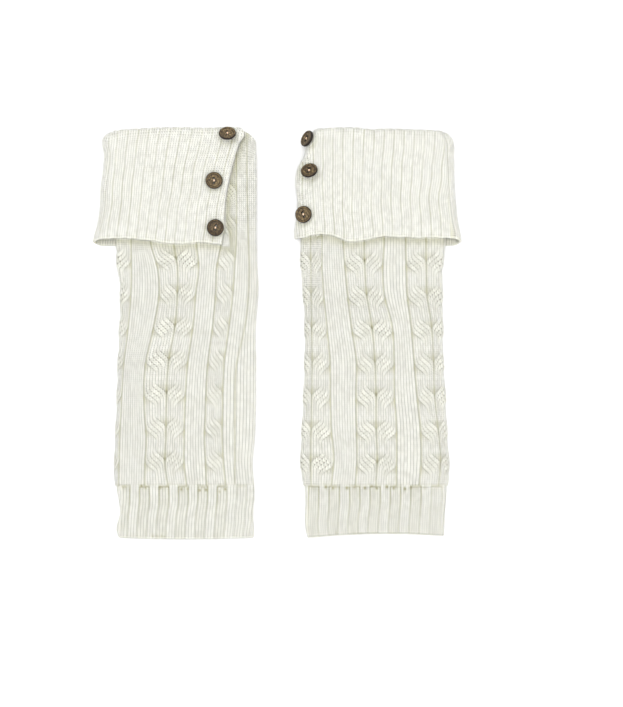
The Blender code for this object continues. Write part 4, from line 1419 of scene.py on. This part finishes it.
class Cuff:
    """The ribbed cuff of one warmer, rolled over the fold and turned down to its hem."""

    RIB_HEIGHT = 1.0
    GROOVE = 0.45
    CROWN = 0.3
    TUCK = 6.0  # how much shorter the inner layer's free end is
    EDGE_DROP = 0.9  # how far the hem and the free edge are rounded down
    ROUND = 34  # columns round the folded side, four to a wale
    BOUND = 3.4  # how tall the bound-off edge is
    BOUND_RELIEF = 0.9
    BOUND_SHADE = (0.04, 0.32)  # over the bound-off edge, and more between its stitches
    HEM_WAVE = (0.45, 2.3, 6.1)  # how far the hem sways, and over what lengths
    CORNER = 9.0  # how much of the back layer's free corner is rounded away
    SQUEEZED = 0.4  # columns closer together than this lie flat
    BUTTON_SHADE, BUTTON_REACH = 0.4, 2.2
    BOUND_LOSS = 0.35  # the share of the stitches' depth that the bound-off edge lacks
    RELIEF = 0.15  # how far the whole front stands off the plain cloth
    SWAY = (0.6, 1.7, 2.4)  # how far the ribs sway, and how soon across and along
    WAVE = 0.6  # how high the turned-down cloth's waves are
    FADING = (0.62, 0.5, 2.3, 1.2)  # how dark the painted shade of the lines between the ribs is, and how that changes
    LEAST_SHADE = 0.15
    EDGE_WIDTH = 3.0
    LAST, LAST_HEIGHT = 0.96, 0.1  # the hem's last part, and how far its last row stands out
    CORNER_LIFT = 0.6
    FREE_COLUMN = (0.3, 0.0, 0.3)  # the last column's relief, rise and shade, at the free edge
    LENGTH = 128.0  # from the seam over the fold to the hem
    ROUND_SIDE = 20.0  # what the folded side adds to its flat width
    STITCH_RISE = 0.82  # how deep its stitches are, as a share of the gauge's

    def __init__(self, side: Side) -> None:
        self.side = side
        self.turned_to = 1 if CUFFS[side][0].fold > 0 else -1

    def rows(self) -> list:
        """The rows, from the seam inside the fold to the hem.

        Returns:
            For each, its angle round the fold or None, and its share of the way to the hem or None.
        """
        around = math.pi * (FRONT_ROLL["high"] - FRONT_ROLL["low"] + 2 * FRONT_ROLL["reach"]) / 4
        steps = round(around / GAUGE.fine)
        angles = [(-90 + 180 * i / steps, None) for i in range(steps + 1)]
        length = HEM[self.side][0].down - FRONT_ROLL["down"]
        count = round(length / GAUGE.fine)
        return [(None, None), *angles, *((None, (i + 1) / count) for i in range(count))]

    def columns(self) -> np.ndarray:
        """The columns of the front: its ribs, from the folded side to the free edge.

        Returns:
            Their places in ribs, wales, reliefs, rises and shades.
        """
        front = []
        number = 0
        for rib in range(CUFF_RIBS[self.side]):
            band = stitched_band(abs(CUFFS[self.side][0].rib_pitch), number, self.RIB_HEIGHT, self.GROOVE)
            number = int(band[-1].wale) + 1
            front += [c._replace(share=rib + c.share, relief=self.RELIEF + c.relief) for c in band]
        front.append(Column(CUFF_RIBS[self.side], number, *self.FREE_COLUMN))
        return np.array(front).T

    def heights(self, angle: float | None, share: float | None) -> tuple:
        """How far down and how high a row lies.

        Args:
            angle: How far round the fold it is, in degrees from the inside, or None.
            share: Its share of the way from the fold to the hem, or None.

        Returns:
            How far it is turned over, as a share, and then the front's down and height, and the back's.
        """
        if share is not None:
            front_down = FRONT_ROLL["down"] + share * (HEM[self.side][0].down - FRONT_ROLL["down"])
            back_down = BACK_ROLL["down"] + share * (BACK_HEM_DOWN - BACK_ROLL["down"])
            fullness = math.exp(-(((front_down - FRONT_ROLL["down"]) / FRONT_SETTLE) ** 2))
            front_z = FRONT_HEM_Z + (FRONT_ROLL["high"] - FRONT_HEM_Z) * fullness
            return 1.0, front_down, front_z, back_down, CUFF_WALL / 2
        if angle is None:
            down = SEAM_DOWN - SEAM_GAP / 2
            return 0.0, down, FRONT_ROLL["low"], down, BACK_ROLL["high"]
        turned = (1 + math.sin(math.radians(angle))) / 2
        return turned, *self.roll(FRONT_ROLL, angle, 1), *self.roll(BACK_ROLL, angle, -1)

    def middle_row(self, row: tuple, ribs: np.ndarray, back: np.ndarray) -> np.ndarray:
        """The points of one row, half-way through the cloth.

        Args:
            row: Its angle round the fold or None, and its share of the way to the hem or None.
            ribs: Places across the front, in ribs.
            back: Places along the back layer, as shares.

        Returns:
            The row's points, from the free edge.
        """
        side, levels = self.side, CUFFS[self.side]
        half, to = CUFF_WALL / 2, self.turned_to
        share = row[1]
        turned, front_down, front_z, back_down, back_z = self.heights(*row)
        level = max(front_down, levels[0].down)
        fold, free, start, pitch, edge_curl = (
            float(read(levels, name, level)) for name in levels[0]._fields[1:]
        )
        leg_side = "right" if to > 0 else "left"
        inner = float(read(LEVELS[side], leg_side, SEAM_DOWN)) - to * LEG_WALL / 2
        fold_x = inner * (1 - turned) + (fold - to * half) * turned
        free_x = free + to * (half + self.TUCK * (1 - turned))
        radius = (front_z - back_z) / 2
        end_x = fold_x - to * radius
        x = start + pitch * ribs
        sway, wide, long = self.SWAY
        x = x + sway * turned * ripple(x * wide, np.full(len(x), long * front_down), 7.0)
        x = -to * spaced(-to * x, -to * end_x, -to * free_x)
        across = (x - end_x) / (free_x - end_x)
        curl = edge_curl * turned * smooth_step(1 - np.abs(x - free_x) / CURL_WIDTH)
        curl = curl + self.EDGE_DROP * np.clip(1 - np.abs(x - free_x) / self.EDGE_WIDTH, 0.0, 1.0) ** 2
        z = front_z - curl + self.CROWN * turned * (1 - (2 * across - 1) ** 2)
        dip = turned * read(FOLD[side], "down", x, along="x")
        dip = dip + (1 - turned) * read(SEAM[side], "down", x, along="x")
        down = front_down + dip
        if share is not None:
            hem = read(HEM[side], "down", x, along="x")
            high, short, long = self.HEM_WAVE
            hem = hem + high * np.sin(x / short) * np.sin(x / long)
            down = (FRONT_ROLL["down"] + dip) * (1 - share) + hem * share
            z = z - troughs(CUFF_CREASES[side], x, down)
            z = z - self.EDGE_DROP * max(0.0, (share - self.LAST) / (1 - self.LAST)) ** 2
            waved = smooth_step(share * 4) * smooth_step((1 - across) * 6)
            z = z + self.WAVE * ripple(x, down, 3.0 + to) * waved
        front_points = np.stack([x, -down, z], axis=1)[::-1]
        back_x = end_x + (BACK_END[side] - end_x) * back
        back_dip = read(SEAM[side], "down", back_x, along="x") * (1 - (share or 0.0))
        corner = smooth_step(1 - np.abs(back_x - BACK_END[side]) / self.CORNER)
        back_dip = back_dip + self.CORNER_LIFT * self.CORNER * corner * (1 - (share or 0.0)) ** 6
        back_points = np.stack([back_x, -(back_down + back_dip), np.full(len(back_x), back_z)], axis=1)
        turn = np.radians(np.linspace(90, -90, self.ROUND + 2)[1:-1])
        part = (math.pi / 2 - turn) / math.pi
        round_points = np.stack(
            [
                end_x + to * radius * np.cos(turn),
                -down[0] + (back_points[0, 1] + down[0]) * part,
                (front_z + back_z) / 2 + radius * np.sin(turn),
            ],
            axis=1,
        )
        return np.concatenate([front_points, round_points, back_points])

    @staticmethod
    def roll(roll: dict, angle: float, up: int) -> tuple:
        """A fold's middle line.

        Args:
            roll: The fold's sizes.
            angle: From -90 inside to 90 outside.
            up: 1 where the outside is above, and -1 where it is below.

        Returns:
            Its down and height.
        """
        centre, half = (roll["high"] + roll["low"]) / 2, (roll["high"] - roll["low"]) / 2
        turn = math.radians(angle)
        return roll["down"] - roll["reach"] * math.cos(turn), centre + half * math.sin(turn) * up

    def beside_buttons(self, middle: np.ndarray) -> np.ndarray:
        """The soft shade on the cloth round the buttons, which draw it in.

        Args:
            middle: Points half-way through the cloth.

        Returns:
            How deep it is at each point.
        """
        shade = np.zeros(middle.shape[:2])
        for spot in BUTTONS[self.side]:
            far = np.hypot(middle[..., 0] - spot.x, middle[..., 1] + spot.down + 1.5)
            upper = middle[..., 2] > FRONT_ROLL["low"]
            shade = shade + np.exp(-(((far - Button.RADIUS) / self.BUTTON_REACH) ** 2)) * upper
        return shade

    def build(self, tree: StitchTree, finish: bpy.types.Material) -> bpy.types.Object:
        """Makes the cuff.

        Args:
            tree: The tree that presses stitches.
            finish: The yarn.

        Returns:
            Its object.
        """
        side = self.side
        ribs, *front = self.columns()
        wale, relief, rise, shade = (values[::-1] for values in front)
        span = abs(BACK_END[side] - CUFFS[side][0].fold)
        back = np.linspace(0.0, 1.0, 2 * round(span / GAUGE.wale) + 1)
        rows = self.rows()
        middle = np.array([self.middle_row(row, ribs, back) for row in rows])
        across = np.gradient(middle, axis=1)
        normal = np.cross(across, np.gradient(middle, axis=0)) * -self.turned_to
        normal /= np.maximum(np.linalg.norm(normal, axis=2, keepdims=True), 1e-9)
        plain = np.zeros(self.ROUND + len(back))
        first = wale[0] + 1
        behind = first + (self.ROUND + 1) // 4 + 1
        wale = np.concatenate([wale, first + np.arange(self.ROUND) / 4, behind + np.arange(len(back)) / 2])
        relief = np.concatenate([relief, plain])
        rise = np.concatenate([rise, np.ones(self.ROUND), np.full(len(back), BACK_RISE)])
        shade = np.concatenate([shade, plain])
        free = smooth_step(np.linalg.norm(across, axis=2) / self.SQUEEZED)
        length = HEM[side][0].down - FRONT_ROLL["down"]
        to_hem = np.array([[length if share is None else (1 - share) * length] for _, share in rows])
        bound = smooth_step(1.6 * (1 - to_hem / self.BOUND))
        usual, change, wide, long = self.FADING
        fading = ripple(middle[..., 0] * wide, -middle[..., 1] * long, 9.0 + self.turned_to)
        height = relief * (1 - bound) + self.BOUND_RELIEF * bound
        height[0] = 0.0
        height[-1] = self.LAST_HEIGHT
        shades = np.clip(usual + change * fading, self.LEAST_SHADE, 1.0) * shade * free * (1 - bound)
        low, more = self.BOUND_SHADE
        shades = shades + bound * (low + more * (0.5 + 0.5 * np.cos(2 * math.pi * wale)))
        upper = (slice(None), slice(len(ribs)))
        shades[upper] += self.BUTTON_SHADE * self.beside_buttons(middle[upper])
        points = middle + normal * (CUFF_WALL / 2 + height)[..., None]
        points[..., 2] = np.maximum(points[..., 2], LOWEST)
        points = points + np.array([MIDDLE_X[side], TOP_Y, 0.0])
        rise = self.STITCH_RISE * rise * (0.5 + 0.5 * free) * (1 - self.BOUND_LOSS * bound)
        if self.turned_to < 0:
            points, normal, rise, shades = (grid[:, ::-1] for grid in (points, normal, rise, shades))
            wale = wale[::-1]
        knit = Knit(f"{side.value}_cuff_knit", points, normal, wale, rise, shades, False, CUFF_WALL)
        item = knit.build(tree, finish)
        dress(item, f"{side.value}_cuff")
        return item


def spaced(x: np.ndarray, low: float, high: float, least: float = 0.12) -> np.ndarray:
    """Keeps rising places between two limits and at least a little apart.

    Args:
        x: The places.
        low: The lower limit.
        high: The upper limit.
        least: The least distance between two of them.

    Returns:
        The places, moved where needed.
    """
    steps = np.arange(len(x)) * least
    x = np.maximum.accumulate(np.maximum(x, low) - steps) + steps
    return np.minimum(x, high - steps[::-1])


class Button:
    """A dished coconut-shell button with two holes, sewn on with yarn."""

    RADIUS, THICK, RIM, DISH = 8.5, 3.0, 1.7, 0.6
    HOLE, OFFSET, BEVEL = 1.0, 2.0, 0.28  # the holes' radius, place and bevel
    SIDES, HOLE_SIDES = 64, 20
    SINK = 0.04  # how much deeper the dish is in its middle
    STRANDS = (-0.45, 0.0, 0.45)  # how far from its middle the thread's strands lie
    STRAND_RADIUS, SHANK_RADIUS = 0.36, 0.55

    def __init__(self, side: Side, spot: ButtonSpot) -> None:
        self.side = side
        self.spot = spot

    def placed(self) -> Matrix:
        """Where the button lies and how it is turned.

        Returns:
            Its matrix, from millimetres to the row frame.
        """
        right, up = math.radians(self.spot.lean_right), math.radians(self.spot.lean_up)
        face = Vector((math.sin(right) * math.cos(up), math.sin(up), math.cos(right) * math.cos(up)))
        turn = Vector((0, 0, 1)).rotation_difference(face).to_matrix().to_4x4()
        spin = Matrix.Rotation(math.radians(self.spot.spin), 4, "Z")
        place = Vector((MIDDLE_X[self.side] + self.spot.x, TOP_Y - self.spot.down, self.spot.z)) * MM
        return Matrix.Translation(place) @ turn @ spin @ Matrix.Scale(MM, 4)

    def disc(self) -> bmesh.types.BMesh:
        """The turned disc, with its holes.

        Returns:
            Its mesh, in millimetres.
        """
        top, bottom = self.THICK / 2, -self.THICK / 2
        inner = self.RADIUS - self.RIM
        floor = top - self.DISH - self.SINK
        profile = (
            (self.RADIUS - 1.2, bottom),
            (self.RADIUS - 0.45, bottom + 0.25),
            (self.RADIUS - 0.08, bottom + 0.8),
            (self.RADIUS, 0.1),
            (self.RADIUS - 0.06, top - 0.7),
            (self.RADIUS - 0.35, top - 0.22),
            (self.RADIUS - 0.8, top),
            (inner + 0.35, top - 0.05),
            (inner - 0.1, top - 0.3),
            (inner - 0.7, top - self.DISH),
            (inner - 2.0, floor),
        )
        work = bmesh.new()
        rings = []
        for radius, z in profile:
            turns = [2 * math.pi * i / self.SIDES for i in range(self.SIDES)]
            rings.append([work.verts.new((radius * math.cos(a), radius * math.sin(a), z)) for a in turns])
        wrap(work, rings)
        holes = []
        for offset in (-self.OFFSET, self.OFFSET):
            circles = []
            for radius, z in (
                (self.HOLE, bottom),
                (self.HOLE, top - self.DISH - 0.4),
                (self.HOLE + self.BEVEL, floor),
            ):
                turns = [2 * math.pi * i / self.HOLE_SIDES for i in range(self.HOLE_SIDES)]
                points = ((offset + radius * math.cos(a), radius * math.sin(a), z) for a in turns)
                circles.append([work.verts.new(point) for point in points])
            for low, high in zip(circles, circles[1:]):
                for i in range(self.HOLE_SIDES):
                    j = (i + 1) % self.HOLE_SIDES
                    work.faces.new((low[i], high[i], high[j], low[j]))
            holes.append(circles)
        for ring, level in ((rings[0], 0), (rings[-1], -1)):
            loops = [ring] + [hole[level] for hole in holes]
            edges = [work.edges.get(pair) for loop in loops for pair in zip(loop, loop[1:] + loop[:1])]
            bmesh.ops.triangle_fill(work, use_beauty=True, edges=edges)
        bmesh.ops.recalc_face_normals(work, faces=work.faces)
        return work

    def thread(self) -> bmesh.types.BMesh:
        """The sewing yarn: strands over the face from hole to hole, and the shank under it.

        Returns:
            Its mesh, in millimetres.
        """
        work = bmesh.new()
        shade = work.verts.layers.float.new("shade")
        top = self.THICK / 2 - self.DISH
        for n, shift in enumerate(self.STRANDS):
            line = []
            for t in np.linspace(0.0, 1.0, 15):
                x = self.OFFSET * 0.5 * (2 * t - 1)
                rise = math.sin(math.pi * t) ** 0.6 * (1.05 + 0.12 * (n == 1))
                line.append(Vector((x, shift * math.cos((t - 0.5) * 2.2), top - 0.85 + rise)))
            tube(work, line, self.STRAND_RADIUS)
        over = len(work.verts)
        for offset in (-self.OFFSET * 0.8, self.OFFSET * 0.8):
            bottom = -self.THICK / 2
            line = [Vector((offset, 0.0, bottom + 0.1 - 0.45 * k)) for k in range(5)]
            tube(work, line, self.SHANK_RADIUS)
        # The shank, deep in the holes, is painted in the darkest shade
        for vert in list(work.verts)[over:]:
            vert[shade] = HOLE_SHADE
        bmesh.ops.recalc_face_normals(work, faces=work.faces)
        return work

    def build(self, shell: bpy.types.Material, yarn: bpy.types.Material) -> None:
        """Makes the button and its thread.

        Args:
            shell: The button's material.
            yarn: The thread's.
        """
        name = f"{self.side.value}_button_{self.spot.place}"
        matrix = self.placed()
        for suffix, work, finish, slot in (
            ("disc", self.disc(), shell, "coconut_shell"),
            ("thread", self.thread(), yarn, "ivory_knit"),
        ):
            mesh = bpy.data.meshes.new(f"{name}_{suffix}")
            if suffix == "disc":
                spot = work.verts.layers.float_vector.new("face")
                lot = work.verts.layers.float.new("lot")
                for vert in work.verts:
                    vert[spot] = vert.co * MM
                    vert[lot] = self.spot.spin / 100
            work.transform(matrix)
            work.to_mesh(mesh)
            work.free()
            mesh.materials.append(finish)
            mesh.shade_smooth()
            mesh.set_sharp_from_angle(angle=math.radians(45))
            item = bpy.data.objects.new(mesh.name, mesh)
            bpy.context.scene.collection.objects.link(item)
            dress(item, name if suffix == "disc" else None)


def wrap(work: bmesh.types.BMesh, rings: list) -> None:
    """Adds the faces between each ring of points and the next."""
    for low, high in zip(rings, rings[1:]):
        for i in range(len(low)):
            j = (i + 1) % len(low)
            work.faces.new((low[i], low[j], high[j], high[i]))


def tube(work: bmesh.types.BMesh, line: list, radius: float, sides: int = 8) -> None:
    """Adds a closed round tube along a line.

    Args:
        work: The mesh to add to.
        line: The points of its middle.
        radius: Its radius.
        sides: How many sides it has.
    """
    rings = []
    for n, point in enumerate(line):
        ahead = (line[min(n + 1, len(line) - 1)] - line[max(n - 1, 0)]).normalized()
        one = ahead.cross(Vector((0, 1, 0.01))).normalized()
        two = ahead.cross(one)
        turns = [2 * math.pi * i / sides for i in range(sides)]
        arms = (math.cos(a) * one + math.sin(a) * two for a in turns)
        rings.append([work.verts.new(point + radius * arm) for arm in arms])
    wrap(work, rings)
    work.faces.new(rings[0])
    work.faces.new(rings[-1])


def yarn_material(name: str, look: YarnFinish) -> bpy.types.Material:
    """A yarn: paler on the stitches' crests, with painted yellowish shade in the hollows, painted dark
    shade in the gaps between stitches, and loose fibres.

    Args:
        name: The material's name.
        look: Its colours and surface.

    Returns:
        The material.
    """
    made = bpy.data.materials.new(name)
    made.use_nodes = True
    nodes = Nodes(made.node_tree)
    places = nodes.add("ShaderNodeTexCoord").outputs["Object"]
    read_here = ("shade", "pore", "wale", "course", "inside")
    shade, pore, wale, course, inside = (nodes.attribute(layer) for layer in read_here)
    tinted = nodes.mix(nodes.noise(places, look.tint_scale, 3.0), look.crest, look.tint)
    # Painted shade: yellowish where the shade attribute says a point lies deep
    shaded = nodes.mix(nodes.ranged(shade, 0.0, GROOVE_SHADE), tinted, look.hollow)
    stitch = nodes.combined(nodes.math("FLOOR", wale), nodes.math("FLOOR", course))
    chance = nodes.add("ShaderNodeTexWhiteNoise", {"Vector": stitch}, noise_dimensions="2D")
    mottled = nodes.math("SUBTRACT", chance.outputs["Value"], look.mottle_level)
    mottled = nodes.math("MULTIPLY", mottled, look.mottle)
    # Painted shade in the gaps between stitches, drawn from the wales and courses on the inner faces and
    # read from the stitch tree outside; some stitches are also darker at random, and open gaps and holes
    # take the darkest painted shade
    fold = nodes.math("ABSOLUTE", nodes.math("SUBTRACT", nodes.math("FRACT", wale), 0.5))
    bent = nodes.math("MULTIPLY_ADD", fold, 2 * GAUGE.arm, course)
    inner = nodes.math("MULTIPLY", nodes.wave(wale), nodes.wave(bent))
    gap_shades = nodes.math("POWER", nodes.math("MULTIPLY_ADD", inner, inside, pore), look.sharpness)
    opened = nodes.math("MULTIPLY_ADD", gap_shades, look.openness, mottled)
    opened = nodes.math("MAXIMUM", opened, nodes.ranged(shade, GROOVE_SHADE, HOLE_SHADE))
    along, across = look.ply
    lean = nodes.math("MULTIPLY_ADD", course, along, nodes.math("MULTIPLY", fold, across))
    twist = nodes.math("SINE", nodes.math("MULTIPLY", lean, 2 * math.pi))
    height = nodes.math("MULTIPLY_ADD", twist, look.twist, nodes.noise(places, look.fibre_scale, 4.0))
    fibres = {"Strength": look.fibre, "Distance": look.fibre_depth, "Height": height}
    surface = {
        "Base Color": nodes.mix(opened, shaded, look.pore),
        "Roughness": look.roughness,
        "Sheen Weight": look.sheen,
        "Sheen Roughness": look.nap,
        "Specular IOR Level": look.specular,
        "Subsurface Weight": look.glow,
        "Subsurface Radius": look.glow_colour,
        "Subsurface Scale": look.glow_reach,
        "Normal": nodes.add("ShaderNodeBump", fibres).outputs[0],
    }
    nodes.fill(made.node_tree.nodes["Principled BSDF"], surface)
    return made


def shell_material(name: str, look: ShellFinish) -> bpy.types.Material:
    """Polished coconut shell: brown, streaked with dark fibres and pale flecks, darker at the edge, with
    painted shade in its holes and in the groove round its dish.

    Args:
        name: The material's name.
        look: Its colours and surface.

    Returns:
        The material.
    """
    made = bpy.data.materials.new(name)
    made.use_nodes = True
    nodes = Nodes(made.node_tree)
    face, lot = nodes.attribute("face", "Vector"), nodes.attribute("lot")
    piece = nodes.combined(nodes.math("MULTIPLY", lot, 0.5), lot)
    own = nodes.add("ShaderNodeVectorMath", {0: face, 1: piece}, operation="ADD").outputs[0]
    stretched = nodes.add("ShaderNodeMapping", {"Vector": own, "Scale": look.grain}).outputs[0]
    fibres = {"Vector": stretched, "Scale": 1.0, "Detail": 5.0, "Roughness": 0.7}
    streaks = nodes.add("ShaderNodeTexNoise", fibres).outputs[0]
    specks = nodes.add("ShaderNodeTexVoronoi", {"Vector": own, "Scale": look.specks[0]}).outputs[0]
    patches = nodes.noise(own, look.patches[0], 3.0)
    x, y, z = nodes.add("ShaderNodeSeparateXYZ", {"Vector": face}).outputs
    out = nodes.far(x, y)
    rim = nodes.ranged(out, *look.rim)
    aside = nodes.math("SUBTRACT", nodes.math("ABSOLUTE", x), Button.OFFSET * MM)
    # Painted shade in and round the holes, and in the groove round the dish
    bored = nodes.math("LESS_THAN", nodes.far(aside, y), Button.HOLE * MM + look.bore)
    ring = nodes.math("ABSOLUTE", nodes.math("SUBTRACT", out, look.ring))
    ring = nodes.math("MULTIPLY_ADD", ring, -look.ring_sharpness, 1.0)
    ring = nodes.math("MULTIPLY", nodes.math("MAXIMUM", ring, 0.0), look.ring_depth)
    low = nodes.math("GREATER_THAN", out, look.side)
    low = nodes.math("MULTIPLY", nodes.ranged(z, *look.under), low)
    grain = nodes.math("MULTIPLY", streaks, look.streaks)
    grain = nodes.math("MULTIPLY_ADD", patches, look.patches[1], grain)
    grain = nodes.math("SUBTRACT", grain, nodes.ranged(lot, *look.worn, 0.0))
    ramp = nodes.add("ShaderNodeValToRGB", {0: grain})
    stops = ramp.color_ramp.elements
    stops.new(look.steps[2])
    for stop, place, colour in zip(stops, look.steps, (look.dark, look.face, look.fleck)):
        stop.position = place
        stop.color = (*colour, 1.0)
    flecked = nodes.mix(nodes.ranged(specks, 0.0, *look.specks[1:], 0.0), ramp.outputs[0], look.dark)
    edge = nodes.math("MAXIMUM", nodes.math("MAXIMUM", rim, low), nodes.math("MAXIMUM", ring, bored))
    bump = {"Strength": look.bump[0], "Distance": look.bump[1], "Height": streaks}
    surface = {
        "Base Color": nodes.mix(nodes.math("MULTIPLY", edge, look.edge), flecked, look.dark),
        "Roughness": look.roughness,
        "Specular IOR Level": look.specular,
        "Normal": nodes.add("ShaderNodeBump", bump).outputs[0],
    }
    nodes.fill(made.node_tree.nodes["Principled BSDF"], surface)
    return made


class Studio:
    """The pale floor, the soft lights and the camera straight above the pair."""

    LENS, SENSOR = 100.0, 36.0
    HEIGHT = 1.974
    CENTRE = (0.0343, -0.0202)
    FLOOR_SIZE, FLOOR_Z = 6.0, -0.0002
    WHITES = ((0.93, 0.93, 0.93), (0.95, 0.95, 0.95))
    LIGHTS = (("key", (-0.4, 0.45, 2.3), 1.6, 30.0), ("fill", (0.9, -0.7, 2.1), 1.8, 15.0))
    SURROUND = 0.84

    def build(self) -> None:
        """Makes the studio."""
        self.floor()
        self.lights()
        self.camera()

    def floor(self) -> None:
        """Lays a wide white floor, a hair under the cloth."""
        work = bmesh.new()
        bmesh.ops.create_grid(work, x_segments=1, y_segments=1, size=self.FLOOR_SIZE)
        mesh = bpy.data.meshes.new("floor")
        work.to_mesh(mesh)
        work.free()
        made = bpy.data.materials.new("studio_white")
        made.use_nodes = True
        nodes = Nodes(made.node_tree)
        places = nodes.add("ShaderNodeTexCoord").outputs["Object"]
        surface = {
            "Base Color": nodes.mix(nodes.noise(places, 3.0), *self.WHITES),
            "Roughness": 0.9,
            "Specular IOR Level": 0.0,
        }
        nodes.fill(made.node_tree.nodes["Principled BSDF"], surface)
        mesh.materials.append(made)
        floor = bpy.data.objects.new("floor", mesh)
        floor.location.z = self.FLOOR_Z
        bpy.context.scene.collection.objects.link(floor)

    def lights(self) -> None:
        """Hangs a large soft key at the upper left, a weak fill, and an even white surround."""
        for name, place, size, power in self.LIGHTS:
            light = bpy.data.lights.new(name, "AREA")
            light.size = size
            light.energy = power
            item = bpy.data.objects.new(name, light)
            item.location = place
            item.rotation_euler = (-Vector(place)).to_track_quat("-Z", "Y").to_euler()
            bpy.context.scene.collection.objects.link(item)
        world = bpy.data.worlds.new("surround")
        world.use_nodes = True
        background = {"Color": (1.0, 1.0, 1.0, 1.0), "Strength": self.SURROUND}
        Nodes(world.node_tree).fill(world.node_tree.nodes["Background"], background)
        bpy.context.scene.world = world
        bpy.context.scene.view_settings.view_transform = "Standard"

    def camera(self) -> None:
        """The camera, straight above the middle of the photo's frame."""
        camera = bpy.data.cameras.new("camera")
        camera.lens = self.LENS
        camera.sensor_width = self.SENSOR
        camera.sensor_fit = "AUTO"
        item = bpy.data.objects.new("camera", camera)
        item.location = (*self.CENTRE, self.HEIGHT)
        bpy.context.scene.collection.objects.link(item)
        bpy.context.scene.camera = item


def main() -> None:
    """Builds the pair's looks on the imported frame."""
    logging.basicConfig(level=logging.INFO, format="%(name)s: %(message)s")
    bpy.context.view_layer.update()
    Studio().build()
    yarn, thread = yarn_material("ivory_yarn", YARN), yarn_material("sewing_yarn", THREAD)
    shell = shell_material("coconut_shell_grain", SHELL)
    tree = StitchTree()
    for side in Side:
        for part in (Leg(side), Ankle(side), Cuff(side)):
            piece = part.build(tree, yarn)
            LOG.info("%s: %d faces", piece.name, len(piece.data.polygons))
        for spot in BUTTONS[side]:
            Button(side, spot).build(shell, thread)


if __name__ == "__main__":
    main()
